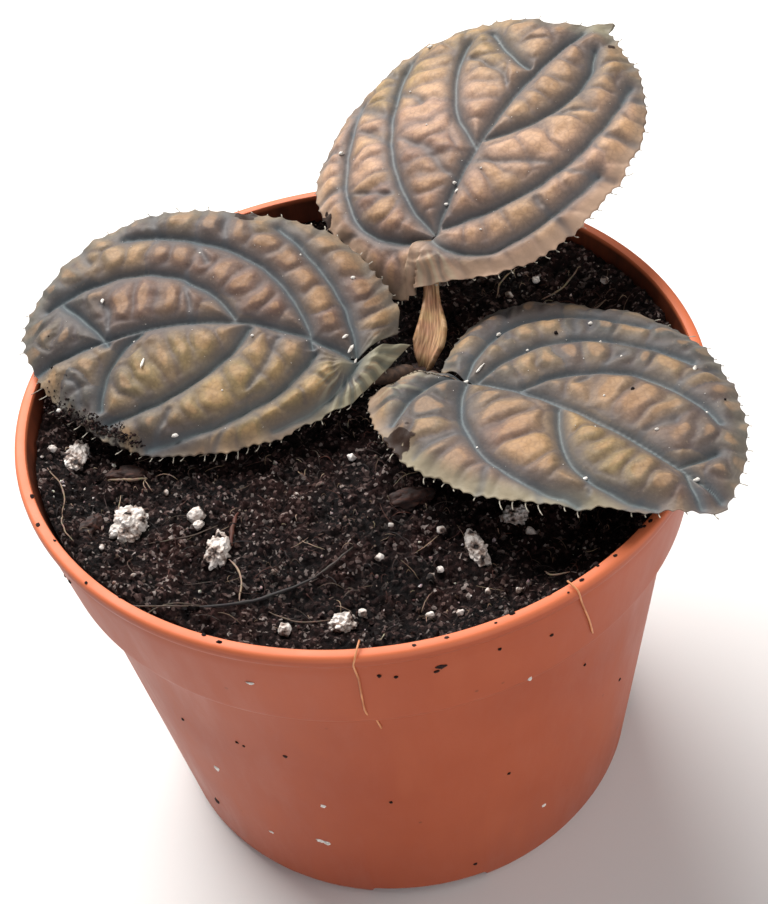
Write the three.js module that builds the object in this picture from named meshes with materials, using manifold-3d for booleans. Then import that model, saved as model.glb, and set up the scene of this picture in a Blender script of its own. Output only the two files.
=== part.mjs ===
// Potted labisia: a young plant with three broad quilted leaves, in a terracotta-coloured
// nursery pot filled with dark bark compost and white perlite.
// Millimetres, +Z up. The origin is the middle of the pot's underside.
import * as THREE from "three";
import { mergeVertices } from "three/addons/utils/BufferGeometryUtils.js";
import Module from "manifold-3d";

const wasm = await Module();
wasm.setup();

// ---------- Sizes ----------
const GAP = 0.3; // clearance between pieces that touch
const SIDES = 72; // sides of the pot and of the compost

const POT_HEIGHT = 67.5;
const RIM_RADIUS = 45; // outside of the lip
const LIP_WIDTH = 1.5;
const COLLAR_HEIGHT = 14.3;
const COLLAR_FOOT_RADIUS = 42.8;
const BODY_TOP_RADIUS = 41.1;
const BASE_RADIUS = 34.6;
const WALL = 1.1;
const FLOOR = 1.2;
const CHANNELS = 4; // drainage channels under the base
const CHANNEL_ANGLE = 26; // degrees
const CHANNEL_HEIGHT = 1.3;
const CHANNEL_START = 18; // distance from the axis
const CHANNEL_ROOF = CHANNEL_HEIGHT + 1; // top of the raised floor over a channel
const DRAIN_RADIUS = 3.6;
const DRAIN_DISTANCE = 26;

const SOIL_LEVEL = 63;
const SOIL_RINGS = 12;

const CROWN = new THREE.Vector2(8.4, 3.2); // where the plant stands in the pot
const CROWN_RADIUS = 3.1;
const CROWN_TOP = 64.8;
const CROWN_FOOT = 52;

const LEAF_THICKNESS = 0.7;
const TOOTH = 0.55; // how far a marginal tooth stands out
const VEIN_DEPTH = 0.75; // sunken main veins
const VEIN_REACH = 2.4; // half-width of the groove over a vein
const MARGIN_DROP = 0.35;
const STALK_THICKNESS = 1.6;
const STALK_STEPS = 10;
const STALK_SIDES = 12;
const STALK_OVERLAP = 0.15; // how deep below the upper face the stalk's top side ends

const COLLAR_FOOT = POT_HEIGHT - COLLAR_HEIGHT;

// ---------- Small helpers ----------
const UP = new THREE.Vector3(0, 0, 1);
const rad = THREE.MathUtils.degToRad;
const lerp = THREE.MathUtils.lerp;

function seeded(seed) {
  let state = seed;
  return () => {
    state = (state * 1664525 + 1013904223) % 4294967296;
    return state / 4294967296;
  };
}

function geometryOf(points, triangles) {
  const geometry = new THREE.BufferGeometry().setFromPoints(points);
  geometry.setIndex(triangles);
  return geometry;
}

function solidOf(geometry) {
  const bare = new THREE.BufferGeometry();
  bare.setAttribute("position", geometry.getAttribute("position"));
  bare.setIndex(geometry.index);
  const merged = mergeVertices(bare, 1e-4);
  return new wasm.Manifold(
    new wasm.Mesh({
      numProp: 3,
      vertProperties: new Float32Array(merged.attributes.position.array),
      triVerts: new Uint32Array(merged.index.array),
    }),
  );
}

function geometryFrom(solid) {
  const mesh = solid.getMesh();
  const geometry = new THREE.BufferGeometry();
  geometry.setAttribute(
    "position",
    new THREE.BufferAttribute(mesh.vertProperties, 3),
  );
  geometry.setIndex(new THREE.BufferAttribute(mesh.triVerts, 1));
  return geometry;
}

function spun(profile, sides) {
  const points = profile.map(([r, z]) => new THREE.Vector2(r, z));
  return new THREE.LatheGeometry(points, sides).rotateX(Math.PI / 2);
}

function upright(radius, low, high) {
  const height = high - low;
  const cylinder = new THREE.CylinderGeometry(radius, radius, height, 24).rotateX(Math.PI / 2);
  return cylinder.translate(0, 0, low + height / 2);
}

// Joins an inner ring of points to the ring around it.
function stitch(triangles, inner, innerCount, outer, outerCount) {
  let i = 0;
  let j = 0;
  const innerSteps = innerCount === 1 ? 0 : innerCount;
  while (i < innerSteps || j < outerCount) {
    const a = inner + (i % innerCount);
    const b = outer + (j % outerCount);
    if (i === innerSteps || (j < outerCount && j / outerCount <= i / innerCount)) {
      triangles.push(a, b, outer + ((j + 1) % outerCount));
      j += 1;
    } else {
      triangles.push(a, b, inner + ((i + 1) % innerCount));
      i += 1;
    }
  }
}

// A disc of rings seen from above, as triangles that face up.
function discTriangles(counts) {
  const triangles = [];
  let start = 0;
  for (let k = 1; k < counts.length; k += 1) {
    stitch(triangles, start, counts[k - 1], start + counts[k - 1], counts[k]);
    start += counts[k - 1];
  }
  return triangles;
}

function flipped(triangles, shift) {
  const result = [];
  for (let k = 0; k < triangles.length; k += 3) {
    result.push(triangles[k] + shift, triangles[k + 2] + shift, triangles[k + 1] + shift);
  }
  return result;
}

// A band between an upper ring and a lower ring of the same count, facing out.
function bandTriangles(upper, lower, count) {
  const triangles = [];
  for (let k = 0; k < count; k += 1) {
    const next = (k + 1) % count;
    triangles.push(upper + k, lower + k, lower + next);
    triangles.push(upper + k, lower + next, upper + next);
  }
  return triangles;
}

// ---------- Pot ----------
function outerRadius(z) {
  if (z < COLLAR_FOOT) {
    return lerp(BASE_RADIUS, BODY_TOP_RADIUS, z / COLLAR_FOOT);
  }
  const up = (z - COLLAR_FOOT) / COLLAR_HEIGHT;
  return lerp(COLLAR_FOOT_RADIUS, RIM_RADIUS, up);
}

function innerRadius(z) {
  return outerRadius(z) - (z < COLLAR_FOOT ? WALL : LIP_WIDTH);
}

// A block shaped like a slice of a ring, between two heights.
function slice(inner, outer, angle, low, high) {
  const half = rad(angle) / 2;
  const shape = new THREE.Shape();
  shape.absarc(0, 0, outer, -half, half, false);
  shape.absarc(0, 0, inner, half, -half, true);
  shape.closePath();
  const block = new THREE.ExtrudeGeometry(shape, {
    depth: high - low,
    bevelEnabled: false,
    curveSegments: 8,
  });
  return solidOf(block.translate(0, 0, low));
}

function aroundBase(solid) {
  const copies = [];
  for (let k = 0; k < CHANNELS; k += 1) {
    copies.push(solid.rotate([0, 0, -90 + (k * 360) / CHANNELS]));
  }
  return wasm.Manifold.union(copies);
}

function potGeometry() {
  const shell = solidOf(
    spun(
      [
        [0, 0],
        [BASE_RADIUS - 1.6, 0],
        [BASE_RADIUS - 0.5, 0.5],
        [outerRadius(1.8), 1.8],
        [outerRadius(COLLAR_FOOT - 0.9), COLLAR_FOOT - 0.9],
        [COLLAR_FOOT_RADIUS - 0.4, COLLAR_FOOT - 0.3],
        [COLLAR_FOOT_RADIUS, COLLAR_FOOT + 0.2],
        [RIM_RADIUS - 0.2, POT_HEIGHT - 1.3],
        [RIM_RADIUS, POT_HEIGHT - 0.7],
        [RIM_RADIUS - 0.25, POT_HEIGHT],
        [RIM_RADIUS - LIP_WIDTH, POT_HEIGHT],
        [innerRadius(COLLAR_FOOT + 0.6), COLLAR_FOOT + 0.6],
        [innerRadius(COLLAR_FOOT - 0.6), COLLAR_FOOT - 0.6],
        [innerRadius(2.6), 2.6],
        [innerRadius(2.6) - 1.4, FLOOR],
        [0, FLOOR],
      ],
      SIDES,
    ),
  );
  const boss = slice(CHANNEL_START - 1, BASE_RADIUS - 0.7, CHANNEL_ANGLE + 4, 0, CHANNEL_ROOF);
  const channel = slice(CHANNEL_START, BASE_RADIUS + 4, CHANNEL_ANGLE, -1, CHANNEL_HEIGHT);
  const drain = solidOf(upright(DRAIN_RADIUS, -1, 5).translate(DRAIN_DISTANCE, 0, 0));
  const pot = shell
    .add(aroundBase(boss))
    .subtract(aroundBase(channel))
    .subtract(aroundBase(drain));
  return geometryFrom(pot);
}

// ---------- Compost ----------
// Low mounds and hollows that can be seen from above: x, y, height, radius.
const MOUNDS = [
  [-4, -21, 1.2, 9],
  [-24, -27, 1.5, 13],
  [22, -31, -1.4, 8],
  [-40, 4, -0.8, 8],
  [8, 3, 0.5, 7],
  [24, 26, -0.7, 14],
];

function looseClods() {
  const random = seeded(7);
  const clods = [];
  for (let k = 0; k < 90; k += 1) {
    const r = 41 * Math.sqrt(random());
    const turn = 2 * Math.PI * random();
    const height = lerp(-0.6, 0.9, random());
    clods.push([r * Math.cos(turn), r * Math.sin(turn), height, lerp(1.8, 3.2, random())]);
  }
  return clods;
}

const RELIEF = [...MOUNDS, ...looseClods()];

function soilHeight(x, y) {
  let z = SOIL_LEVEL;
  for (const [cx, cy, height, radius] of RELIEF) {
    const d = Math.hypot(x - cx, y - cy) / radius;
    z += height * Math.exp(-d * d);
  }
  return z;
}

function soilBlock() {
  const counts = [1];
  for (let k = 1; k <= SOIL_RINGS; k += 1) {
    counts.push((SIDES / SOIL_RINGS) * k);
  }
  const points = [];
  counts.forEach((count, ring) => {
    for (let k = 0; k < count; k += 1) {
      const turn = (2 * Math.PI * k) / count;
      const r = ((innerRadius(SOIL_LEVEL) - GAP) * ring) / SOIL_RINGS;
      const x = r * Math.cos(turn);
      const y = r * Math.sin(turn);
      points.push(new THREE.Vector3(x, y, soilHeight(x, y)));
    }
  });
  const triangles = discTriangles(counts);
  let upper = points.length - SIDES;
  const levels = [COLLAR_FOOT + 2, COLLAR_FOOT + 0.6, COLLAR_FOOT - 0.6, 3];
  for (const z of [...levels, FLOOR + GAP]) {
    const lower = points.length;
    const inset = z < 3 ? 1.6 : 0;
    for (let k = 0; k < SIDES; k += 1) {
      const turn = (2 * Math.PI * k) / SIDES;
      const r = innerRadius(Math.max(z, 3)) - GAP - inset;
      points.push(new THREE.Vector3(r * Math.cos(turn), r * Math.sin(turn), z));
    }
    triangles.push(...bandTriangles(upper, lower, SIDES));
    upper = lower;
  }
  const middle = points.length;
  points.push(new THREE.Vector3(0, 0, FLOOR + GAP));
  for (let k = 0; k < SIDES; k += 1) {
    triangles.push(middle, upper + ((k + 1) % SIDES), upper + k);
  }
  return solidOf(geometryOf(points, triangles));
}

// ---------- Perlite and bark lying in the compost ----------
// x, y, half-sizes along its length, across it and up, turn in degrees, share sunk.
const PERLITE = [
  [-30.5, -16.2, 2.7, 2.1, 1.8, 70, 0.4],
  [-37.6, -1.6, 2.6, 1.3, 1.3, 80, 0.5],
  [-19.5, -23.1, 2.5, 1.4, 1.4, 78, 0.45],
  [-5.6, -36.6, 1.5, 1.2, 1.1, 20, 0.4],
  [16.6, -22.8, 1.7, 1.1, 1.1, -15, 0.4],
  [11.2, -27.8, 2.4, 1.1, 1.2, 100, 0.45],
];
const BARK = [
  [-31, -6.4, 2.7, 1.2, 0.9, -12, 0.5],
  [4.5, -18, 2.8, 1.3, 1, 8, 0.5],
  [-35.4, -15.2, 1.9, 1, 0.8, 60, 0.5],
];

// A lump of uneven stone or bark. With grow above 0 it is the pocket that it lies in.
function lump([x, y, a, b, c, turn, sunk], seed, grow) {
  const random = seeded(seed);
  const ball = new THREE.IcosahedronGeometry(1, 1);
  ball.deleteAttribute("normal");
  ball.deleteAttribute("uv");
  const shape = mergeVertices(ball, 1e-3);
  const spots = shape.getAttribute("position");
  for (let k = 0; k < spots.count; k += 1) {
    const size = lerp(0.86, 1.1, random());
    spots.setXYZ(k, spots.getX(k) * size, spots.getY(k) * size, spots.getZ(k) * size);
  }
  shape.scale(a + grow, b + grow, c + grow);
  shape.rotateZ(rad(turn));
  return shape.translate(x, y, soilHeight(x, y) + c * (1 - 2 * sunk));
}

// ---------- Leaves ----------
// Every leaf is drawn flat first: s runs from the stalk along the midrib, t to the left.
// The blade then rises at "pitch", bends over along its length by "droop" degrees per
// millimetre, leans by "roll", and curves down to both sides and at the basal lobes.
const LEAVES = {
  left: {
    base: new THREE.Vector3(0.4, 1.6, 70),
    yaw: 170,
    pitch: 13,
    droop: 0.65,
    roll: -18,
    bend: [0.01, 0.006],
    curl: [0.02, 0.02],
    lean: 0.8,
    centre: [20, -4],
    outline: [
      [-4.8, -2.2],
      [-4.4, -6],
      [-2.8, -10],
      [2, -18],
      [8, -21.6],
      [18, -23.8],
      [28, -24.8],
      [37, -21.5],
      [43.5, -15],
      [46, -7],
      [44, 0],
      [38.2, 7.4],
      [30, 13],
      [20, 14.2],
      [10, 12],
      [2, 7],
      [-3, 4.4],
      [-6.6, 1.4],
      [-1, 0],
    ],
    veins: [
      [0, 0, 18, -10, 44, -0.5],
      [0, 0, 1.7, -11, 12.5, -21],
      [6, -1.5, 11, -19, 33, -20.5],
      [16.5, -5.5, 26, -19, 43, -10.5],
      [33.5, -2.7, 36, -6.5, 41, -11],
      [0, 0.5, 3, 7.5, 10, 10.7],
      [5.6, -0.5, 10.5, 10, 27, 13],
      [14.5, -4, 19, 6, 33, 9],
      [29, -4, 34, 0, 34, 7],
    ],
  },
  back: {
    base: new THREE.Vector3(12.7, 16.2, 77),
    yaw: 50,
    pitch: 27,
    droop: 0.5,
    roll: 0,
    bend: [0.018, 0.01],
    curl: [0.05, 0.02],
    lean: 0,
    centre: [16, 0],
    outline: [
      [-8, -0.8],
      [-5.4, -4.5],
      [-2.3, -9.5],
      [2, -14],
      [9, -17.5],
      [18, -19.2],
      [26, -18.4],
      [34, -14],
      [38, -9],
      [41.2, -4],
      [40.2, 0],
      [39.8, 8],
      [36, 17.5],
      [30, 25],
      [22, 27.8],
      [12, 28],
      [4, 25],
      [-1.8, 18.5],
      [-5, 11],
      [-8.6, 5],
      [-8.4, 1.2],
      [-1, 0],
    ],
    veins: [
      [0, 0, 18, 3.5, 39.5, -2],
      [0, 0, -9, 16, 20.5, 26.5],
      [0.5, 0, 8, 17, 29.5, 22],
      [15, 1.5, 20.5, 11, 33.5, 13.6],
      [30, 1.5, 32, 6, 36, 10.8],
      [0, 0, -5, -10, 16.7, -16.2],
      [2, -0.4, 13, -15, 32, -13.2],
      [16.5, 0.8, 26, -11, 36.5, -5.5],
    ],
  },
  right: {
    base: new THREE.Vector3(13.4, -5.8, 71),
    yaw: -43,
    pitch: 9,
    droop: 0.4,
    roll: -1,
    bend: [0.008, 0.008],
    curl: [0.008, 0.008],
    lean: 0,
    centre: [15, 0],
    outline: [
      [-9, -1.8],
      [-11.8, -5],
      [-9, -9.4],
      [-3, -13.2],
      [4, -15.8],
      [12, -16],
      [22, -13.2],
      [29, -9.8],
      [35.4, -5.8],
      [38, -4],
      [36.6, 5],
      [32.8, 11.5],
      [27, 17.8],
      [19, 22.8],
      [12, 24],
      [3, 22.3],
      [-5.5, 19],
      [-7.8, 13],
      [-7, 7],
      [-4.6, 0.8],
      [-1, 0],
    ],
    veins: [
      [0, 0, 15, 3, 37.4, -2.3],
      [0, 0, -8.5, 18, 14, 21],
      [1.5, 0.8, 2.5, 17.5, 23, 17],
      [7.5, 1.5, 16, 16, 31.5, 8.5],
      [31, -1, 32, 1, 33.5, 3.3],
      [0, 0, -6, -2, -4, -10.5],
      [0.4, -0.5, 6, -14, 24, -11.8],
      [13.8, 0.4, 20, -11.5, 32, -7.5],
      [32, -1.2, 34, -3, 36.2, -4.6],
    ],
  },
};

const BLADE_RINGS = [1, 10, 20, 40, 40, 80, 80, 80, 80, 160];
const BLADE_SPREAD = [0, 0.11, 0.23, 0.36, 0.49, 0.61, 0.73, 0.84, 0.93, 1];

// A point "lift" above the upper face of the flat blade at (s, t), in its real place.
function bladePoint(leaf, s, t, lift) {
  const forward = new THREE.Vector3(Math.cos(rad(leaf.yaw)), Math.sin(rad(leaf.yaw)), 0);
  const left = new THREE.Vector3(-forward.y, forward.x, 0);
  const start = rad(leaf.pitch);
  const rate = rad(leaf.droop);
  const slope = start - rate * s;
  const along = (Math.sin(start) - Math.sin(slope)) / rate;
  const rise = (Math.cos(slope) - Math.cos(start)) / rate;
  const flatNormal = forward.clone().multiplyScalar(-Math.sin(slope));
  flatNormal.addScaledVector(UP, Math.cos(slope));
  const roll = rad(leaf.roll);
  const side = left.clone().multiplyScalar(Math.cos(roll));
  side.addScaledVector(flatNormal, Math.sin(roll));
  const normal = left.clone().multiplyScalar(-Math.sin(roll));
  normal.addScaledVector(flatNormal, Math.cos(roll));
  const half = t > 0 ? 0 : 1;
  const bend = leaf.bend[half];
  const lobe = leaf.curl[half] * Math.min(s, 0) ** 2;
  const across = Math.sin(bend * t) / bend;
  const height = lift - lobe - (1 - Math.cos(bend * t)) / bend;
  const point = leaf.base.clone();
  point.addScaledVector(forward, along).addScaledVector(UP, rise);
  return point.addScaledVector(side, across).addScaledVector(normal, height);
}

function veinLines(leaf) {
  return leaf.veins.map(([s0, t0, s1, t1, s2, t2]) => {
    const curve = new THREE.QuadraticBezierCurve(
      new THREE.Vector2(s0, t0),
      new THREE.Vector2(s1, t1),
      new THREE.Vector2(s2, t2),
    );
    return curve.getPoints(30);
  });
}

// The upper face sinks over each main vein and is raised in between.
function veinRelief(lines, s, t) {
  const spot = new THREE.Vector2(s, t);
  let nearest = Infinity;
  for (const line of lines) {
    for (const point of line) {
      nearest = Math.min(nearest, spot.distanceTo(point));
    }
  }
  const d = nearest / VEIN_REACH;
  return -VEIN_DEPTH * Math.exp(-d * d);
}

function bladeGeometry(leaf) {
  const corners = leaf.outline.map(([s, t]) => new THREE.Vector3(s, t, 0));
  const edge = new THREE.CatmullRomCurve3(corners, true, "centripetal");
  const lines = veinLines(leaf);
  const [s0, t0] = leaf.centre;
  const flat = [];
  BLADE_RINGS.forEach((count, ring) => {
    const spread = BLADE_SPREAD[ring];
    for (let k = 0; k < count; k += 1) {
      const rim = edge.getPointAt(k / count);
      if (ring === BLADE_RINGS.length - 1) {
        const along = edge.getTangentAt(k / count);
        const toothed = THREE.MathUtils.smoothstep(rim.length(), 6, 9);
        const reach = (k % 2 === 1 ? TOOTH : -0.2) * toothed;
        rim.add(new THREE.Vector3(along.y * reach, -along.x * reach, 0));
      }
      const s = s0 + spread * (rim.x - s0);
      const t = t0 + spread * (rim.y - t0) + leaf.lean * Math.min(s, 0);
      const lift = veinRelief(lines, s, t) - MARGIN_DROP * spread ** 8;
      flat.push([s, t, lift]);
    }
  });
  const top = flat.map(([s, t, lift]) => bladePoint(leaf, s, t, lift));
  const bottom = flat.map(([s, t, lift]) => bladePoint(leaf, s, t, lift - LEAF_THICKNESS));
  const faces = discTriangles(BLADE_RINGS);
  const rimCount = BLADE_RINGS.at(-1);
  const rimStart = flat.length - rimCount;
  const triangles = [
    ...faces,
    ...flipped(faces, flat.length),
    ...bandTriangles(rimStart, rimStart + flat.length, rimCount),
  ];
  return geometryOf([...top, ...bottom], triangles);
}

// ---------- Stalks and crown ----------
// The value at a share of the way through an evenly spaced list.
function between(values, share) {
  const place = share * (values.length - 1);
  const slot = Math.min(Math.floor(place), values.length - 2);
  return lerp(values[slot], values[slot + 1], place - slot);
}

// A stalk follows its path with a flattened section that widens and narrows.
function stalkGeometry(path, widths) {
  const curve = new THREE.CatmullRomCurve3(path, false, "centripetal");
  const level = path.at(-1).clone().sub(path[0]).cross(UP).normalize();
  const points = [];
  for (let k = 0; k <= STALK_STEPS; k += 1) {
    const share = k / STALK_STEPS;
    const heading = curve.getTangentAt(share);
    const side = level.clone().addScaledVector(heading, -level.dot(heading)).normalize();
    const normal = heading.clone().cross(side);
    for (let j = 0; j < STALK_SIDES; j += 1) {
      const turn = (2 * Math.PI * j) / STALK_SIDES;
      const point = curve.getPointAt(share);
      point.addScaledVector(side, (between(widths, share) / 2) * Math.cos(turn));
      point.addScaledVector(normal, (STALK_THICKNESS / 2) * Math.sin(turn));
      points.push(point);
    }
  }
  const triangles = [];
  for (let k = 0; k < STALK_STEPS; k += 1) {
    triangles.push(...bandTriangles((k + 1) * STALK_SIDES, k * STALK_SIDES, STALK_SIDES));
  }
  const last = STALK_STEPS * STALK_SIDES;
  for (let j = 1; j < STALK_SIDES - 1; j += 1) {
    triangles.push(0, j + 1, j);
    triangles.push(last, last + j, last + j + 1);
  }
  return geometryOf(points, triangles);
}

const foot = (x, y, z) => new THREE.Vector3(x, y, CROWN_TOP + GAP + z);

// A place on the stalk's line under the midrib; its end grows into the blade.
function seat(leaf, s, below) {
  const relief = veinRelief(veinLines(leaf), s, 0);
  return bladePoint(leaf, s, 0, relief - STALK_THICKNESS / 2 - STALK_OVERLAP - below);
}

const STALKS = {
  back: {
    path: [
      foot(9.2, 4.7, 0),
      foot(9.4, 5, 1),
      foot(10.8, 8.2, 3.4),
      seat(LEAVES.back, -3.2, 1.2),
      seat(LEAVES.back, 2.4, 0),
    ],
    widths: [2, 3.6, 4.2, 2.4, 1.6, 1.5, 1.5, 1.5],
  },
  left: {
    path: [
      foot(6.7, 3.3, 0),
      foot(6.6, 3.3, 0.5),
      seat(LEAVES.left, -3, 0.9),
      seat(LEAVES.left, 2.4, 0),
    ],
    widths: [1.9, 2.2, 2, 1.8, 1.6],
  },
  right: {
    path: [
      foot(9.8, 1.6, 0),
      foot(9.9, 1.4, 0.6),
      seat(LEAVES.right, -4, 1.5),
      seat(LEAVES.right, 2.4, 0),
    ],
    widths: [1.9, 2.2, 2, 1.8, 1.6],
  },
};

function crownGeometry() {
  const profile = [
    [0, CROWN_FOOT],
    [1, CROWN_FOOT + 0.4],
    [CROWN_RADIUS - 0.9, CROWN_FOOT + 5],
    [CROWN_RADIUS, CROWN_TOP - 2.6],
    [CROWN_RADIUS, CROWN_TOP - 0.8],
    [CROWN_RADIUS - 0.4, CROWN_TOP],
    [0, CROWN_TOP],
  ];
  return spun(profile, 20).translate(CROWN.x, CROWN.y, 0);
}

function soilGeometry() {
  const hole = upright(CROWN_RADIUS + GAP, CROWN_FOOT - GAP, SOIL_LEVEL + 8);
  const lumps = [...PERLITE, ...BARK].map((piece, k) => solidOf(lump(piece, 20 + k, GAP)));
  const roof = CHANNEL_ROOF + GAP;
  const boss = slice(CHANNEL_START - 1 - GAP, BASE_RADIUS + 4, CHANNEL_ANGLE + 6, 0, roof);
  const soil = soilBlock()
    .subtract(solidOf(hole.translate(CROWN.x, CROWN.y, 0)))
    .subtract(wasm.Manifold.union(lumps))
    .subtract(aroundBase(boss));
  return geometryFrom(soil);
}

// ---------- The part ----------
const MATERIALS = {
  pot: new THREE.MeshStandardMaterial({ color: 0x9a5037, roughness: 0.6 }),
  soil: new THREE.MeshStandardMaterial({ color: 0x2a1f1b, roughness: 1 }),
  stalk: new THREE.MeshStandardMaterial({ color: 0xa67b5d, roughness: 0.7 }),
  leaf: new THREE.MeshStandardMaterial({ color: 0x8f8a6c, roughness: 0.6 }),
  perlite: new THREE.MeshStandardMaterial({ color: 0xd9cfc4, roughness: 0.9 }),
  bark: new THREE.MeshStandardMaterial({ color: 0x5a3524, roughness: 0.9 }),
};

const part = new THREE.Group();
part.name = "potted_labisia";

function add(name, geometry, material) {
  const mesh = new THREE.Mesh(geometry, material);
  mesh.name = name;
  part.add(mesh);
}

add("pot", potGeometry(), MATERIALS.pot);
add("soil", soilGeometry(), MATERIALS.soil);
add("crown", crownGeometry(), MATERIALS.stalk);
for (const [name, leaf] of Object.entries(LEAVES)) {
  const stalk = STALKS[name];
  const stalkSolid = solidOf(stalkGeometry(stalk.path, stalk.widths));
  const whole = solidOf(bladeGeometry(leaf)).add(stalkSolid);
  add(`leaf_${name}`, geometryFrom(whole), MATERIALS.leaf);
}
PERLITE.forEach((piece, k) => {
  add(`perlite_${k + 1}`, lump(piece, 20 + k, 0), MATERIALS.perlite);
});
BARK.forEach((piece, k) => {
  add(`bark_chip_${k + 1}`, lump(piece, 20 + PERLITE.length + k, 0), MATERIALS.bark);
});

export default part;
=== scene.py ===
# %% [markdown]
# # A potted labisia, built piece by piece
# A young plant with three broad quilted leaves stands in a terracotta-coloured nursery pot.
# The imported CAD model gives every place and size. Each cell below makes one piece or one
# finish around it, and every size is written in millimetres, then turned into metres once.

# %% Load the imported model
import math
import random

import bmesh
import bpy
import numpy as np
from mathutils import Matrix, Vector, kdtree, noise


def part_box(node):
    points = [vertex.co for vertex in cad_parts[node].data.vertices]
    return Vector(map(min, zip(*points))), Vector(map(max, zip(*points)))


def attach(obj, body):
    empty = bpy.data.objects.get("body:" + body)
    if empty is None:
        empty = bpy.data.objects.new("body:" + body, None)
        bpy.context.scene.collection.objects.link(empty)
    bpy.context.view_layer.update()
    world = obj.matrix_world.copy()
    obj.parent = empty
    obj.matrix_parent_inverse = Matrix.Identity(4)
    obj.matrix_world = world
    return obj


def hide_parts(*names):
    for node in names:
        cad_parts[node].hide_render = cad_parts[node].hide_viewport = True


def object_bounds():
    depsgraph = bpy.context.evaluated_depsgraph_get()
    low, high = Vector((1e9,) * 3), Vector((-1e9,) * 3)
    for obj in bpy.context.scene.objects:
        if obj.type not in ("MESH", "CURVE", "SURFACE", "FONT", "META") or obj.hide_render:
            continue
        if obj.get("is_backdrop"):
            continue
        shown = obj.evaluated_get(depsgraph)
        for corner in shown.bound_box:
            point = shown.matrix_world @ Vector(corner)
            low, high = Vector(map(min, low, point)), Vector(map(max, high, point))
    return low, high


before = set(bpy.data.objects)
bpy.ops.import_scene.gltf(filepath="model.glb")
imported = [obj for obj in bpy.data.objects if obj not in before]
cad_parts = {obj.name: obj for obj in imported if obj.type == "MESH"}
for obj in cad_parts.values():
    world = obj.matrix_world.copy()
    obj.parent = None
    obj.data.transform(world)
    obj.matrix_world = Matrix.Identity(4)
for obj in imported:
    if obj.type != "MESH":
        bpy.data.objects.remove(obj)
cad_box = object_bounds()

MM = 0.001
print("nodes:", ", ".join(sorted(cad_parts)))

# %% [markdown]
# ## Turning a bmesh into a finished piece
# All the pieces go through one door. The bmesh is in millimetres while it is shaped, because
# plant sizes read better that way. The last step scales it to metres, smooths its shading,
# and tells the frame which body carries it, which CAD nodes it stands for, and its finish.


# %% A finished piece from a bmesh
def finish_piece(bm, name, materials, stands_for=(), smooth=True):
    bmesh.ops.scale(bm, vec=(MM, MM, MM), verts=bm.verts)
    mesh = bpy.data.meshes.new(name)
    bm.to_mesh(mesh)
    bm.free()
    for made in materials:
        mesh.materials.append(made)
    mesh.polygons.foreach_set("use_smooth", [smooth] * len(mesh.polygons))
    piece = bpy.data.objects.new(name, mesh)
    bpy.context.scene.collection.objects.link(piece)
    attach(piece, "root")
    if stands_for:
        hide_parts(*stands_for)
    triangles = sum(len(face.vertices) - 2 for face in mesh.polygons)
    print(f"{name}: {triangles} triangles")
    return piece


# %% [markdown]
# ## Colours and nodes
# Colours are written as the hex values a paint program shows, and a shader wants them linear,
# so one function converts them. A material is a small network of nodes. Adding a node always
# means the same three things, its kind, its settings and what is plugged into it, so one
# function does all of that for every kind of node.


# %% Colour and node helpers
def linear(code):
    channels = [int(code[k : k + 2], 16) / 255 for k in (1, 3, 5)]
    bent = [c / 12.92 if c <= 0.04045 else ((c + 0.055) / 1.055) ** 2.4 for c in channels]
    return (*bent, 1.0)


def add(tree, kind, inputs=None, stops=(), **settings):
    """A node with its settings. An input takes a value, a socket, or a node's first output."""
    made = tree.nodes.new("ShaderNode" + kind)
    for name, value in settings.items():
        setattr(made, name, value)
    for k, (place, colour) in enumerate(stops):
        steps = made.color_ramp.elements
        step = steps[k] if k < 2 else steps.new(place)
        step.position = place
        step.color = linear(colour) if isinstance(colour, str) else (*[colour] * 3, 1)
    for socket, value in (inputs or {}).items():
        if isinstance(value, bpy.types.Node):
            value = value.outputs[0]
        if isinstance(value, bpy.types.NodeSocket):
            tree.links.new(value, made.inputs[socket])
        else:
            made.inputs[socket].default_value = value
    return made


def new_material(name):
    """An empty material, its tree of nodes, and the place on the piece in metres."""
    made = bpy.data.materials.new(name)
    made.use_nodes = True
    tree = made.node_tree
    tree.nodes.clear()
    return made, tree, add(tree, "TexCoord").outputs["Object"]


def per_mm(size):
    """The scale of a pattern whose cells are that many millimetres wide."""
    return 1 / (size * MM)


def mottled(name, size, detail, tones, roughness):
    """A plain finish: noise of a real size, in millimetres, that wanders between two tones."""
    made, tree, place = new_material(name)
    spots = add(tree, "TexNoise", {"Vector": place, "Scale": per_mm(size), "Detail": detail})
    tone = add(tree, "ValToRGB", {"Fac": spots}, stops=tones)
    skin = add(tree, "BsdfPrincipled", {"Base Color": tone, "Roughness": roughness})
    add(tree, "OutputMaterial", {"Surface": skin})
    return made


# %% [markdown]
# ## Camera, floor and light
# The camera stands in front of the pot and looks down at about 44 degrees, slightly turned,
# so the picture leans a little. A big soft lamp stands high behind the plant and rakes over the
# leaves, so every cushion has a bright back and a dark front. The pot's side gets the light of
# two weak fills, one of them low in front, and what the floor returns, which is matt white
# card without a gloss.

# %% Camera
CAMERA_PLACE = (0, -155.708, 205.224)
CAMERA_RIGHT = (0.98965, -0.10665, -0.09605)
CAMERA_UP = (0.14318, 0.68656, 0.71283)
CAMERA_AHEAD = (0.01008, 0.7192, -0.69473)
LENS = 1600 / 904 * 36  # focal length in pixels, over the frame's long side, on 36 mm of film

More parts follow.
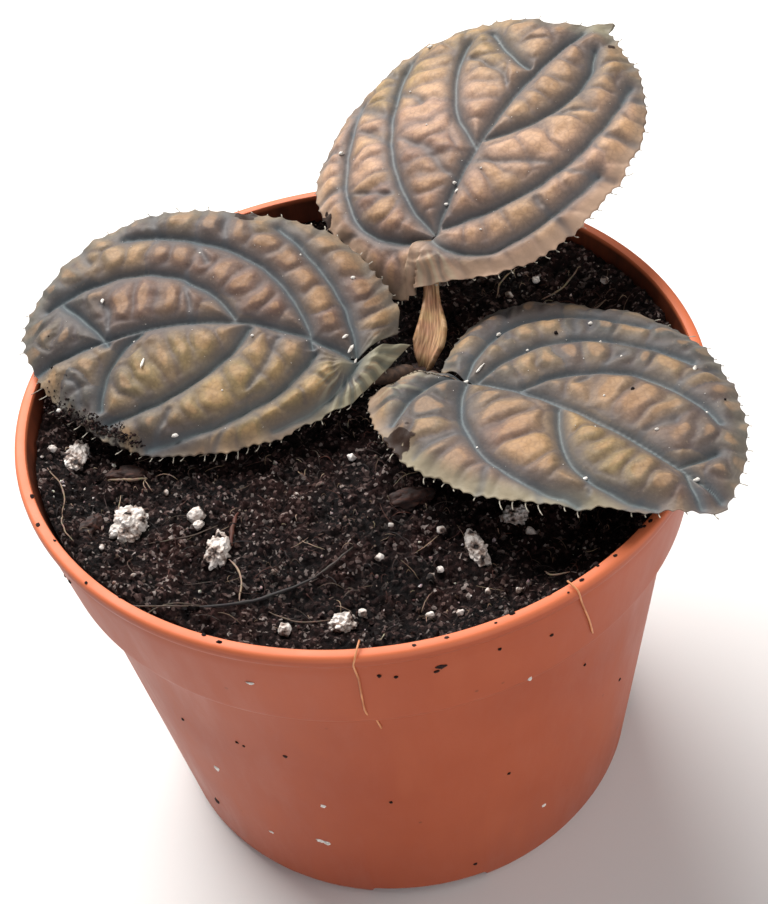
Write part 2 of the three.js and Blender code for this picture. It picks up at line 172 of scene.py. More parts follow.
camera = bpy.data.objects.new("camera", bpy.data.cameras.new("camera"))
camera.data.lens = LENS
camera.data.clip_start = 0.01
axes = Matrix((CAMERA_RIGHT, CAMERA_UP, [-c for c in CAMERA_AHEAD])).transposed()
camera.matrix_world = Matrix.Translation(Vector(CAMERA_PLACE) * MM) @ axes.to_4x4()
bpy.context.scene.collection.objects.link(camera)
bpy.context.scene.camera = camera
bpy.context.scene.view_settings.view_transform = "Standard"
print(f"lens {LENS:.1f} mm")

# %% Floor and lamps
floor_paint, tree, place = new_material("floor_matt_white_card")
grain = add(tree, "TexNoise", {"Vector": place, "Scale": per_mm(0.8), "Detail": 2})
bump = add(tree, "Bump", {"Strength": 0.04, "Distance": 0.0002, "Height": grain})
card = add(
    tree, "BsdfPrincipled", {"Base Color": linear("#e3e2e1"), "Roughness": 0.9, "Normal": bump},
)
add(tree, "OutputMaterial", {"Surface": card})

bm = bmesh.new()
bmesh.ops.create_grid(bm, x_segments=1, y_segments=1, size=2500 * MM)
floor_mesh = bpy.data.meshes.new("floor")
bm.to_mesh(floor_mesh)
bm.free()
floor_mesh.materials.append(floor_paint)
floor = bpy.data.objects.new("floor", floor_mesh)
bpy.context.scene.collection.objects.link(floor)
floor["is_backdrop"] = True


def softbox(name, place, width, watts, tint):
    lamp = bpy.data.lights.new(name, "AREA")
    lamp.shape = "DISK"
    lamp.size = width * MM
    lamp.energy = watts
    lamp.color = linear(tint)[:3]
    stand = bpy.data.objects.new(name, lamp)
    aim = Vector((0, 0, 60)) - Vector(place)
    stand.rotation_euler = aim.to_track_quat("-Z", "Y").to_euler()
    stand.location = Vector(place) * MM
    bpy.context.scene.collection.objects.link(stand)


softbox("back_softbox", (-170, 400, 540), 600, 9.6, "#fffdfa")
softbox("right_fill", (480, -160, 420), 500, 1.1, "#fffaf5")
softbox("front_fill", (90, -560, 130), 500, 1.45, "#f9faff")

world = bpy.data.worlds.new("pale_room")
world.use_nodes = True
backdrop = world.node_tree.nodes["Background"]
backdrop.inputs["Color"].default_value = linear("#fbfcff")
backdrop.inputs["Strength"].default_value = 0.2
bpy.context.scene.world = world
print("camera, floor and", len(bpy.data.lights), "soft lamps are in place")

# %% [markdown]
# ## Sizes of the pot
# These are the CAD part's own sizes, written again because this script reads only the frame.
# The pot is a 9 cm nursery pot: a tapered body, a wider collar so that pots stack without
# jamming, and a rolled lip that keeps the thin wall round.

# %% Pot sizes
POT_HEIGHT = 67.5
COLLAR_FOOT = 53.2
COLLAR_FOOT_RADIUS = 42.8
RIM_RADIUS = 45
BODY_TOP_RADIUS = 41.1
BASE_RADIUS = 34.6
WALL = 1.1
LIP_WIDTH = 1.5
FLOOR = 1.2
CHANNEL_HEIGHT = 1.3
CHANNEL_START = 18
CHANNEL_HALF_ANGLE = 13
CHANNEL_ROOF = 2.3
CHANNEL_MOUTH = 2.1
DRAIN_RADIUS = 3.6
DRAIN_DISTANCE = 26


def lerp(a, b, share):
    return a + (b - a) * share


def smooth(low, high, value):
    share = min(max((value - low) / (high - low), 0), 1)
    return share * share * (3 - 2 * share)


def outer_radius(z):
    if z < COLLAR_FOOT:
        return lerp(BASE_RADIUS, BODY_TOP_RADIUS, z / COLLAR_FOOT)
    return lerp(COLLAR_FOOT_RADIUS, RIM_RADIUS, (z - COLLAR_FOOT) / (POT_HEIGHT - COLLAR_FOOT))


def inner_radius(z):
    return outer_radius(z) - (WALL if z < COLLAR_FOOT else LIP_WIDTH)


pot_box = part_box("pot")
print("CAD pot height, mm:", round((pot_box[1].z - pot_box[0].z) / MM, 2))

# %% [markdown]
# ## The pot's shell
# A pot is a turned shape, so half of its outline is drawn once and spun round the axis. One
# could also stack cylinders, but spinning keeps the wall, the step under the collar and the
# rounded lip in one clean skin. The steps are one degree wide, so the edges of the drainage
# channels fall exactly on them.

# %% Spin the shell
OUTSIDE = [
    (0, 0), (9, 0), (17.4, 0), (18, 0), (24, 0), (30, 0), (33.1, 0), (33.8, 0.12),
    (34.25, 0.5), (34.5, 1), (outer_radius(1.8), 1.8), (outer_radius(20), 20),
    (outer_radius(36), 36), (outer_radius(51.6), 51.6), (41.15, 52.2), (41.5, 52.45),
    (42.25, 52.55), (42.6, 52.75), (42.76, 53.1), (42.84, 53.6), (43.05, 55),
    (44.3, 63.4), (44.52, 64.9), (44.5, 65.3), (44.62, 65.6), (44.9, 65.85),
    (45, 66.3), (45, 66.95), (44.92, 67.25), (44.75, 67.42), (44.5, 67.5),
]
INSIDE = [
    (43.75, 67.5), (43.58, 67.44), (43.48, 67.25), (43.44, 66.9), (43.3, 65.8),
    (inner_radius(59), 59), (inner_radius(54.2), 54.2), (41, 53.4), (40.2, 52.9),
    (inner_radius(52), 52), (inner_radius(30), 30), (inner_radius(3.4), 3.4),
    (inner_radius(2.6) - 0.3, 2.2), (inner_radius(2.6) - 1.4, FLOOR),
    (26, FLOOR), (18, FLOOR), (17, FLOOR), (9, FLOOR), (0, FLOOR),
]
TURN_STEPS = 360


def spin_profile(profile, steps, centre=(0, 0)):
    """A closed turned shape from (radius, height) points, faces outwards."""
    bm = bmesh.new()
    spots = [bm.verts.new((centre[0] + r, centre[1], z)) for r, z in profile]
    lines = [bm.edges.new(pair) for pair in zip(spots, spots[1:])]
    bmesh.ops.spin(
        bm, geom=spots + lines, cent=(*centre, 0), axis=(0, 0, 1), angle=2 * math.pi, steps=steps,
        use_merge=True,
    )
    bmesh.ops.remove_doubles(bm, verts=bm.verts, dist=1e-4)
    bmesh.ops.recalc_face_normals(bm, faces=bm.faces)
    return bm


def from_channel(x, y):
    """How many degrees a place is from the middle of the nearest drainage channel."""
    turn = math.degrees(math.atan2(y, x)) % 90
    return min(turn, 90 - turn)


pot = spin_profile(OUTSIDE + INSIDE, TURN_STEPS)
inside_layer = pot.verts.layers.float.new("inside")
for v in pot.verts:
    r, off = math.hypot(v.co.x, v.co.y), from_channel(v.co.x, v.co.y)
    v[inside_layer] = float(FLOOR < v.co.z < 67 and r < outer_radius(v.co.z) - 0.7)
    if v.co.z < 2 and r > 34 and off < CHANNEL_HALF_ANGLE + 0.1:
        v.co.z = CHANNEL_MOUTH
    if v.co.z < CHANNEL_HEIGHT and r > CHANNEL_START - 0.1 and off < CHANNEL_HALF_ANGLE + 0.1:
        if v.co.z < FLOOR - 0.1:
            v.co.z = CHANNEL_HEIGHT
    if abs(v.co.z - FLOOR) < 0.01 and 16.9 < r < 34 and off < CHANNEL_HALF_ANGLE + 2.1:
        v.co.z = CHANNEL_ROOF
print("pot profile:", len(OUTSIDE) + len(INSIDE), "points,", TURN_STEPS, "steps")

# %% [markdown]
# ## Drain holes
# The four holes are punched through the raised roof of each channel. In the mould they are
# pins. Here a cutter with four upright cylinders does it with a Boolean modifier, which is
# applied at once so that the finished pot is plain mesh.

# %% Cut the drain holes
SHARP_ANGLE = 38

bm = bmesh.new()
for k in range(4):
    spot = Matrix.Rotation(math.radians(90 * k), 4, "Z") @ Matrix.Translation((DRAIN_DISTANCE, 0, 2))
    bmesh.ops.create_cone(
        bm, cap_ends=True, segments=40, radius1=DRAIN_RADIUS, radius2=DRAIN_RADIUS,
        depth=5, matrix=spot,
    )
bmesh.ops.scale(bm, vec=(MM, MM, MM), verts=bm.verts)
cutter_mesh = bpy.data.meshes.new("drain_cutter")
bm.to_mesh(cutter_mesh)
bm.free()
cutter = bpy.data.objects.new("drain_cutter", cutter_mesh)
bpy.context.scene.collection.objects.link(cutter)

pot_plastic, tree, place = new_material("polypropylene_terracotta_injection_moulded")
pot_piece = finish_piece(pot, "nursery_pot", [pot_plastic], ["pot"])
punch = pot_piece.modifiers.new("drain_holes", "BOOLEAN")
punch.operation = "DIFFERENCE"
punch.solver = "EXACT"
punch.object = cutter
bpy.context.view_layer.update()
punched = bpy.data.meshes.new_from_object(
    pot_piece.evaluated_get(bpy.context.evaluated_depsgraph_get())
)
pot_piece.modifiers.clear()
pot_piece.data = punched
bpy.data.objects.remove(cutter)
pot_piece.data.set_sharp_from_angle(angle=math.radians(SHARP_ANGLE))
print("pot after punching:", len(punched.polygons), "faces")

# %% [markdown]
# ## Polypropylene
# The pot is injection-moulded recycled polypropylene. It has a low satin gloss, with a colour
# that drifts a little where the melt flowed and faint scuffs from handling. Its inner wall is
# painted dark, as painted shade inside the pot with peat splashed on it, and the top of its lip
# is painted paler, as painted light from the lamp above. Noise makes the rest at real sizes:
# 30 mm drifts, 6 mm smears and 0.5 mm grain.

# %% Pot material
drift = add(tree, "TexNoise", {"Vector": place, "Scale": per_mm(30), "Detail": 3})
streaky = add(tree, "Mapping", {"Vector": place, "Scale": (1, 1, 0.25)})
smear = add(tree, "TexNoise", {"Vector": streaky, "Scale": per_mm(6), "Detail": 6, "Roughness": 0.65})
tone = add(tree, "ValToRGB", {"Fac": drift}, stops=[(0.3, "#9b472a"), (0.7, "#a85233")])
dusty = add(tree, "ValToRGB", {"Fac": smear}, stops=[(0.52, 0.0), (0.75, 0.15)])
dusted = add(tree, "Mix", {0: dusty, 6: tone, 7: linear("#c87a58")}, data_type="RGBA")
dirt = add(
    tree, "TexVoronoi", {"Vector": place, "Scale": per_mm(4.5), "Randomness": 1.0}, feature="F1",
)
specks = add(tree, "ValToRGB", {"Fac": dirt.outputs["Distance"]}, stops=[(0.03, 0.75), (0.07, 0.0)])
thin = add(tree, "TexNoise", {"Vector": place, "Scale": per_mm(11), "Detail": 2})
where = add(tree, "ValToRGB", {"Fac": thin}, stops=[(0.52, 0.0), (0.62, 1.0)])
fewer = add(tree, "Math", {0: specks, 1: where}, operation="MULTIPLY")
dirty = add(tree, "Mix", {0: fewer, 6: dusted.outputs[2], 7: linear("#4b2318")}, data_type="RGBA")
# The inner wall is painted dark brown in patches: mostly painted shade inside the pot, partly peat
# splashed on it.
inside = add(tree, "Attribute", attribute_name="inside").outputs["Fac"]
inner_shade_patches = add(tree, "ValToRGB", {"Fac": smear}, stops=[(0.35, 0.95), (0.6, 0.6)])
inner_shade_share = add(tree, "Math", {0: inside, 1: inner_shade_patches}, operation="MULTIPLY")
inner_wall_painted_shade = add(tree, "Mix", {0: inner_shade_share, 6: dirty.outputs[2], 7: linear("#3f251b")}, data_type="RGBA")
height = add(tree, "SeparateXYZ", {"Vector": place}).outputs["Z"]
# The top of the lip is painted paler: painted light from the lamp above.
lip = add(
    tree, "MapRange", {"Value": height, "From Min": 66.7 * MM, "From Max": 67.35 * MM, "To Max": 0.8},
)
lip_painted_light = add(tree, "Mix", {0: lip, 6: inner_wall_painted_shade.outputs[2], 7: linear("#dc7850")}, data_type="RGBA")
satin = add(
    tree, "MapRange",
    {"Value": smear, "From Min": 0.3, "From Max": 0.7, "To Min": 0.38, "To Max": 0.56},
)
grain = add(tree, "TexNoise", {"Vector": place, "Scale": per_mm(0.5), "Detail": 2})
waves = add(tree, "TexNoise", {"Vector": streaky, "Scale": per_mm(9)})
surface = add(tree, "Math", {0: waves, 1: 5.0, 2: grain}, operation="MULTIPLY_ADD")
bump = add(tree, "Bump", {"Strength": 0.25, "Distance": 0.03 * MM, "Height": surface})
plastic = add(
    tree, "BsdfPrincipled",
    {
        "Base Color": lip_painted_light.outputs[2], "Roughness": satin, "IOR": 1.49, "Specular IOR Level": 0.25,
        "Normal": bump,
    },
)
add(tree, "OutputMaterial", {"Surface": plastic})
print("polypropylene has", len(tree.nodes), "nodes")

# %% [markdown]
# ## The height of the compost
# Compost isn't flat: it is heaped where the plant was pressed in and sinks where water drips.
# The same mounds and clods as in the CAD part come first, so pieces that lie on the compost
# find the same ground. A fine layer of crumbs is then raised on top of it.

# %% Compost height
SOIL_LEVEL = 63
LOOSE_CLODS = 90
MOUNDS = [
    # x, y, height, width
    (-4, -21, 1.2, 9), (-24, -27, 1.5, 13), (22, -31, -1.4, 8), (-40, 4, -0.8, 8),
    (8, 3, 0.5, 7), (24, 26, -0.7, 14),
]


def seeded(seed):
    state = seed
    while True:
        state = (state * 1664525 + 1013904223) % 4294967296
        yield state / 4294967296


def loose_clods():
    draw = seeded(7)
    clods = []
    for _ in range(LOOSE_CLODS):
        r, turn = 41 * math.sqrt(next(draw)), 2 * math.pi * next(draw)
        height, width = lerp(-0.6, 0.9, next(draw)), lerp(1.8, 3.2, next(draw))
        clods.append((r * math.cos(turn), r * math.sin(turn), height, width))
    return clods


RELIEF = np.array(MOUNDS + loose_clods())


def ground(x, y):
    d = ((x - RELIEF[:, 0]) ** 2 + (y - RELIEF[:, 1]) ** 2) / RELIEF[:, 3] ** 2
    return SOIL_LEVEL + float(np.sum(RELIEF[:, 2] * np.exp(-d)))


CLOD_WIDTH, CRUMB_WIDTH, SPECK_WIDTH = 5.2, 2.1, 0.75
ROLL_LENGTH, GRAIN_LENGTH = 6, 0.6


def to_nearest_seed(x, y, width, seed):
    """How far the nearest of many scattered seeds is, in shares of their spacing."""
    return noise.voronoi(Vector((x / width, y / width, seed)))[0][0]


def crumbly(x, y):
    """Clods, crumbs and grains with the gaps between them, in millimetres of height."""
    clod = to_nearest_seed(x, y, CLOD_WIDTH, 4.4)
    crumb = to_nearest_seed(x, y, CRUMB_WIDTH, 0.3)
    speck = to_nearest_seed(x, y, SPECK_WIDTH, 7.7)
    roll = noise.noise(Vector((x / ROLL_LENGTH, y / ROLL_LENGTH, 2.1)))
    rough = noise.noise(Vector((x / GRAIN_LENGTH, y / GRAIN_LENGTH, 5.5)))
    height = 0.8 * (0.55 - clod) + 0.9 * (0.5 - crumb) * (1 + roll)
    return height + 0.85 * (0.45 - speck) + 0.28 * rough + 0.35 * roll


HEAP_HEIGHT = 2.4
HEAP_START, HEAP_END = 35, 42.5  # distances from the axis
LOW_SIDE = 103  # degrees round the pot


def heaped(x, y):
    """Compost pushed up against the pot's wall, all round but for the back."""
    turn = math.degrees(math.atan2(y, x)) % 360
    share = 1 - 0.8 * smooth(50, 22, abs(turn - LOW_SIDE))
    return HEAP_HEIGHT * share * smooth(HEAP_START, HEAP_END, math.hypot(x, y))


def soil_top(x, y):
    return ground(x, y) + heaped(x, y) + crumbly(x, y)


print("compost height at the middle:", round(soil_top(0, 0), 2), "mm")

# %% [markdown]
# ## The compost block
# The top is a square grid pressed into a disc, so its cells stay even and every crumb gets
# enough of them. Its border is then extruded down along the pot's wall and closed below: a
# block that looks right from above, and is solid for whoever lifts it out of the pot.

# %% Compost block
SOIL_CELLS = 290
SOIL_CLEARANCE = 0.12  # between the compost and the wall
SOIL_WALL_LEVELS = [61.5, 54.5, 52.2, 30, 3.2]


def disc_point(u, v):
    """A point of a square from -1 to 1, pressed into the unit disc."""
    return u * math.sqrt(1 - v * v / 2), v * math.sqrt(1 - u * u / 2)


soil = bmesh.new()
relief_shade_layer = soil.verts.layers.float.new("relief_for_painted_shade")
bmesh.ops.create_grid(soil, x_segments=SOIL_CELLS, y_segments=SOIL_CELLS, size=1)
top_radius = inner_radius(SOIL_LEVEL) - SOIL_CLEARANCE
for v in soil.verts:
    x, y = disc_point(v.co.x, v.co.y)
    x, y = x * top_radius, y * top_radius
    relief = crumbly(x, y)
    v.co = (x, y, ground(x, y) + heaped(x, y) + relief)
    v[relief_shade_layer] = relief
border = [e for e in soil.edges if e.is_boundary]
for z in SOIL_WALL_LEVELS:
    wall = bmesh.ops.extrude_edge_only(soil, edges=border)["geom"]
    border = [g for g in wall if isinstance(g, bmesh.types.BMEdge)]
    for v in {v for e in border for v in e.verts}:
        size = (inner_radius(z) - SOIL_CLEARANCE) / math.hypot(v.co.x, v.co.y)
        v.co = (v.co.x * size, v.co.y * size, z)
bmesh.ops.contextual_create(soil, geom=border)
bmesh.ops.recalc_face_normals(soil, faces=soil.faces)

# %% [markdown]
# ## Damp peat
# The compost is peat and composted bark, milled and still damp, so it is almost black with
# brown crumbs in it. Damp peat is rough, and a thin film of water on it gives small glints.
# The colour comes from cells the size of the crumbs, so no two crumbs look the same, and the
# low places between them are painted near black: painted shade in the gaps.

# %% Compost material
peat, tree, place = new_material("damp_peat_and_composted_bark_milled")
relief_for_painted_shade = add(tree, "Attribute", attribute_name="relief_for_painted_shade").outputs["Fac"]
crumb = add(tree, "TexVoronoi", {"Vector": place, "Scale": per_mm(0.42)}, feature="F1")
shade = add(tree, "SeparateColor", {"Color": crumb.outputs["Color"]})
crumb_tone = add(
    tree, "ValToRGB", {"Fac": shade},
    stops=[(0.32, "#060203"), (0.58, "#221414"), (0.8, "#493432"), (0.92, "#8a726c"), (1.0, "#dccdc6")],
)
patch = add(tree, "TexNoise", {"Vector": place, "Scale": per_mm(9), "Detail": 4})
reddish = add(tree, "ValToRGB", {"Fac": patch}, stops=[(0.4, "#040203"), (0.66, "#38201b")])
mixed = add(tree, "Mix", {0: 0.42, 6: crumb_tone, 7: reddish}, data_type="RGBA")
# The low places of the relief are painted near black: painted shade in the gaps between crumbs.
gap_shade = add(
    tree, "MapRange",
    {"Value": relief_for_painted_shade, "From Min": -0.5, "From Max": 0.35, "To Min": 0.92, "To Max": 0.0},
)
gaps = add(tree, "Mix", {0: gap_shade, 6: mixed.outputs[2], 7: linear("#050304")}, data_type="RGBA")
grit = add(tree, "TexNoise", {"Vector": place, "Scale": per_mm(0.5), "Detail": 6, "Roughness": 0.75})
damp = add(
    tree, "MapRange",
    {"Value": patch, "From Min": 0.35, "From Max": 0.65, "To Min": 0.45, "To Max": 0.85},
)
bump = add(tree, "Bump", {"Strength": 1.0, "Distance": 0.5 * MM, "Height": grit})
earth = add(
    tree, "BsdfPrincipled",
    {"Base Color": gaps.outputs[2], "Roughness": damp, "Specular IOR Level": 0.1, "Normal": bump},
)
add(tree, "OutputMaterial", {"Surface": earth})
finish_piece(soil, "compost_block", [peat], ["soil"])

# %% [markdown]
# ## Lumps
# Crumbs, perlite, bark and specks of dust are all small uneven lumps. A lump starts as an
# icosphere, which has no poles, and noise pushes its corners in and out before it is
# stretched, turned and put in its place.


# %% One uneven lump
def lump(bm, centre, sizes, turn=0.0, rounds=2, rough=0.25, seed=0.0, tilt=0.0):
    made = bmesh.ops.create_icosphere(bm, subdivisions=rounds, radius=1)["verts"]
    shift = Vector((seed * 3.7, seed * 1.3, seed * 2.9))
    for v in made:
        wobble = noise.noise(v.co * 1.3 + shift) + 0.5 * noise.noise(v.co * 3.1 + shift)
        v.co *= 1 + rough * wobble
    place = Matrix.Translation(centre) @ Matrix.Rotation(turn, 4, "Z")
    place = place @ Matrix.Rotation(tilt, 4, "X") @ Matrix.Diagonal((*sizes, 1))
    bmesh.ops.transform(bm, matrix=place, verts=made)
    return made


# %% [markdown]
# ## Loose crumbs
# On top of the block lie thousands of separate crumbs, from dust to pieces of 1 mm. Each has
# twenty faces, because there are so many, and most are half sunk, so the ground seems to be
# made of them. Each crumb carries a tone between 0 and 1 that the material reads.

# %% Scatter the crumbs
CRUMBS = 8800
CRUMB_START, CRUMB_REACH = 42.5, 43  # farthest centre and farthest side from the axis
tones = random.Random(11)


def painted(verts, layer, value):
    for v in verts:
        v[layer] = value


def make_crumb(bm, layer, k):
    r = CRUMB_START * math.sqrt(tones.random())
    turn = 2 * math.pi * tones.random()
    x, y = r * math.cos(turn), r * math.sin(turn)
    size = 0.07 + 0.13 * tones.random() ** 1.5 + 0.3 * tones.random() ** 20
    sizes = [size * tones.uniform(0.6, 1.4) for _ in range(3)]
    sink = tones.uniform(-0.2, 0.5)
    spin, tilt, tone = tones.uniform(0, 6.3), tones.uniform(-0.8, 0.8), tones.random()
    if r + max(sizes) < CRUMB_REACH:
        centre = (x, y, soil_top(x, y) + size * sink)
        painted(lump(bm, centre, sizes, spin, 1, 0.9, k, tilt), layer, tone)


def gathered(count, batch, make):
    """Many small shapes in one bmesh, made in batches, because operators slow down as it grows."""
    whole = bmesh.new()
    whole.verts.layers.float.new("tone")
    for start in range(0, count, batch):
        part = bmesh.new()
        layer = part.verts.layers.float.new("tone")
        for k in range(start, min(start + batch, count)):
            make(part, layer, k)
        mesh = bpy.data.meshes.new("batch")
        part.to_mesh(mesh)
        part.free()
        whole.from_mesh(mesh)
        bpy.data.meshes.remove(mesh)
    return whole


crumbs = gathered(CRUMBS, 80, make_crumb)

loose_peat, tree, place = new_material("loose_peat_crumbs_milled")
tone = add(tree, "Attribute", attribute_name="tone").outputs["Fac"]
grit = add(tree, "TexNoise", {"Vector": place, "Scale": per_mm(0.4), "Detail": 5})
crumb_tone = add(
    tree, "ValToRGB", {"Fac": tone},
    stops=[
        (0.0, "#070304"), (0.45, "#170d0d"), (0.74, "#32221f"), (0.89, "#55423d"),
        (0.97, "#8d7b74"), (1.0, "#d3c8c2"),
    ],
)
gritty = add(
    tree, "Mix", {0: 0.5, 6: crumb_tone, 7: grit.outputs["Color"]}, data_type="RGBA",
    blend_type="OVERLAY",
)
bump = add(tree, "Bump", {"Strength": 0.8, "Distance": 0.15 * MM, "Height": grit})
earth = add(
    tree, "BsdfPrincipled",
    {"Base Color": gritty.outputs[2], "Roughness": 0.7, "Specular IOR Level": 0.12, "Normal": bump},
)
add(tree, "OutputMaterial", {"Surface": earth})
finish_piece(crumbs, "compost_crumbs", [loose_peat], smooth=False)

# %% [markdown]
# ## Tubes
# Roots, straws and leaf bristles are thin tubes along a path. A small grid is wrapped round
# the path, one row to each point, and its seam and its two ends are welded shut. Curves with
# a bevel could do this too, but as mesh each tube can taper and flatten as it goes.


# %% A closed tube along a path
def tube(bm, path, widths, sides=5, flat=1.0, up=Vector((0, 0, 1))):
    """widths are radii along the path. flat is the section's height over its width."""
    path = [Vector(p) for p in path]
    ends = [path[0], *path, path[-1]]
    radii = [0.0, *widths, 0.0]
    grid = bmesh.ops.create_grid(bm, x_segments=sides, y_segments=len(ends) - 1, size=1)
    made = grid["verts"]
    for row, (spot, radius) in enumerate(zip(ends, radii)):
        k = min(max(row - 1, 0), len(path) - 1)
        heading = (path[min(k + 1, len(path) - 1)] - path[max(k - 1, 0)]).normalized()
        side = heading.cross(up).normalized()
        over = side.cross(heading)
        for j in range(sides + 1):
            turn = -2 * math.pi * (j % sides) / sides
            reach = side * math.cos(turn) + over * (flat * math.sin(turn))
            made[row * (sides + 1) + j].co = spot + reach * radius
    bmesh.ops.remove_doubles(bm, verts=made, dist=1e-5)
    return [v for v in made if v.is_valid]


def bent_path(start, end, sag, steps, ripple, seed):
    """A wavering path between two places, bowed sideways by sag."""
    start, end = Vector(start), Vector(end)
    across = (end - start).cross(Vector((0, 0, 1))).normalized()
    path = []
    for k in range(steps + 1):
        share = k / steps
        spot = start.lerp(end, share) + across * (sag * math.sin(math.pi * share))
        spot += across * (ripple * noise.noise(Vector((share * 4, seed * 5.1, 0))))
        path.append(spot)
    return path


# %% [markdown]
# ## Fibres and roots
# Peat is full of fine fibres, straws and old roots that lie on the surface and poke out of
# it. A few long ones lie in known places, and the rest are scattered from a fixed seed. Each
# one follows the ground and dips in at both ends. They are dull, and run from near black
# where they are wet to the tan of dry straw.

# %% Lay the fibres
LONG_FIBRES = [
    # start, end, sideways bow, radius, tone
    ((-16.9, -16.8), (-17.8, -22.6), 0.3, 0.3, 0.5),
    ((-21.8, -32.8), (-8.1, -29.2), 0.7, 0.22, 0.6),
    ((-8.6, -29.3), (-3.4, -25.4), 0.4, 0.15, 0.64),
    ((-21.4, -32.7), (-30.5, -31.3), -0.9, 0.1, 0.7),
    ((-21.2, -32.6), (-29, -34), 0.6, 0.09, 0.7),
    ((-41, -5), (-38.6, -14), -1.0, 0.11, 0.85),
    ((-38.6, -14), (-37, -19.4), 0.5, 0.1, 0.85),
    ((-18.3, -24.8), (-17.3, -31.6), -0.8, 0.14, 0.9),
    ((-33.5, -6.9), (-28.3, -7.9), 0.3, 0.2, 0.85),
    ((18.6, -32.1), (21.3, -33.7), 1.2, 0.12, 0.9),
    ((-28, -20), (-19.5, -18.5), 1.2, 0.09, 0.7),
    ((-14, -33.5), (-6, -35.4), 1.6, 0.11, 0.75),
    ((24, -25), (29, -20), -0.8, 0.12, 0.75),
    ((27, 17), (33, 21.5), 0.6, 0.13, 0.85),
    ((21, 19), (24.5, 25), -0.7, 0.12, 0.9),
    ((17, 24), (19.6, 30.5), 0.9, 0.12, 0.85),
    ((30, 12), (35.5, 14), 0.4, 0.14, 0.8),
]
SHORT_FIBRES = 1300
SHORT_START, FIBRE_REACH = 40.5, 42  # farthest start and end from the axis
LONG_STEPS, SHORT_STEPS = 14, 6

strew = random.Random(23)


def lay_fibre(bm, layer, start, end, bow, radius, tone, lift, steps, seed):
    path = bent_path((*start, 0), (*end, 0), bow, steps, min(radius * 2.5, 0.22), seed)
    for k, spot in enumerate(path):
        rise = math.sin(math.pi * k / steps) * lift + radius * 0.6
        spot.z = ground(spot.x, spot.y) + heaped(spot.x, spot.y) + 0.35 + rise
    widths = []
    for k in range(steps + 1):
        taper = 1 - 0.6 * abs(2 * k / steps - 1) ** 3
        widths.append(radius * taper * (1 + 0.5 * noise.noise((k * 1.3, seed, 2))))
    painted(tube(bm, path, widths, sides=5), layer, tone)


def make_fibre(bm, layer, k):
    if k < len(LONG_FIBRES):
        start, end, bow, radius, tone = LONG_FIBRES[k]
        lay_fibre(bm, layer, start, end, bow, radius, tone, 0.35, LONG_STEPS, k)
        return
    r = SHORT_START * math.sqrt(strew.random())
    turn = 2 * math.pi * strew.random()
    heading = 2 * math.pi * strew.random()
    length = 0.6 + 3.6 * strew.random() ** 2.5
    start = (r * math.cos(turn), r * math.sin(turn))
    end = (start[0] + length * math.cos(heading), start[1] + length * math.sin(heading))
    radius = 0.03 + 0.035 * strew.random() ** 2
    bow, lift = strew.uniform(-1, 1) * length * 0.25, strew.uniform(0, 0.8)
    tone = strew.uniform(0.0, 1.0)
    if math.hypot(*end) < FIBRE_REACH:
        lay_fibre(bm, layer, start, end, bow, radius, tone, lift, SHORT_STEPS, k)


fibres = gathered(len(LONG_FIBRES) + SHORT_FIBRES, 60, make_fibre)

root_bark, tree, place = new_material("dry_plant_fibre_and_root")
tone = add(tree, "Attribute", attribute_name="tone").outputs["Fac"]
streak = add(tree, "TexNoise", {"Vector": place, "Scale": per_mm(0.6), "Detail": 4})
fibre_tone = add(
    tree, "ValToRGB", {"Fac": tone},
    stops=[
        (0.0, "#170d0b"), (0.3, "#2c1c17"), (0.5, "#4c2010"), (0.6, "#252122"),
        (0.8, "#65503f"), (1.0, "#b09880"),
    ],
)
streaked = add(
    tree, "Mix", {0: 0.5, 6: fibre_tone, 7: streak.outputs["Color"]}, data_type="RGBA",
    blend_type="OVERLAY",
)
fibre = add(tree, "BsdfPrincipled", {"Base Color": streaked.outputs[2], "Roughness": 0.7})
add(tree, "OutputMaterial", {"Surface": fibre})
finish_piece(fibres, "compost_fibres", [root_bark])

# %% [markdown]
# ## Perlite and bark
# Perlite is volcanic glass that was popped by heat: white, light, full of tiny bubbles, and
# here stained by peat. The bark chips are torn flakes. Both need finer lumps than the crumbs,
# so these get more rounds of subdivision and a second, finer push from noise.

# %% Perlite and bark grains
# x, y, half-sizes along, across and up, turn in degrees, share sunk
PERLITE = [
    (-30.5, -16.2, 2.7, 2.1, 1.8, 70, 0.4),
    (-37.6, -1.6, 2.6, 1.3, 1.3, 80, 0.5),
    (-19.5, -23.1, 2.5, 1.4, 1.4, 78, 0.45),
    (-5.6, -36.6, 1.5, 1.2, 1.1, 20, 0.4),
    (16.6, -22.8, 1.7, 1.1, 1.1, -15, 0.4),
    (11.2, -27.8, 2.4, 1.1, 1.2, 100, 0.45),
]
BARK = [
    (-31, -6.4, 2.7, 1.2, 0.9, -12, 0.5),
    (4.5, -18, 2.8, 1.3, 1, 8, 0.5),
    (-35.4, -15.2, 1.9, 1, 0.8, 60, 0.5),
]
SMALL_GRAINS = [
    # x, y, radius
    (-22, -16.6, 0.95), (-21.8, -18.2, 0.6), (-12.3, -37.1, 0.8), (18, -25.6, 0.6),
    (7.4, -23.9, 0.5), (-0.4, -27.3, 0.45), (5.2, -31.1, 0.5), (6.5, -30.1, 0.4),
    (-3.2, -35.2, 0.5), (4.4, -37.1, 0.45), (7.8, -37.9, 0.4), (11.5, -34.5, 0.4),
    (-2.2, -9.4, 0.5), (-40.6, -0.9, 0.5), (-40, 8.3, 0.45), (27.1, 22, 0.5),
    (36, 17.2, 0.55), (22.8, 19.3, 0.5), (14, 23.5, 0.45), (-26, -11, 0.35),
    (-33.5, -20.5, 0.35), (-13, -27.5, 0.35), (1.5, -22.5, 0.3), (15, -35.5, 0.35),
    (-29.5, -26.5, 0.3), (24.5, -21.5, 0.35), (-9.5, -15, 0.3), (31.5, 8.5, 0.35),
]


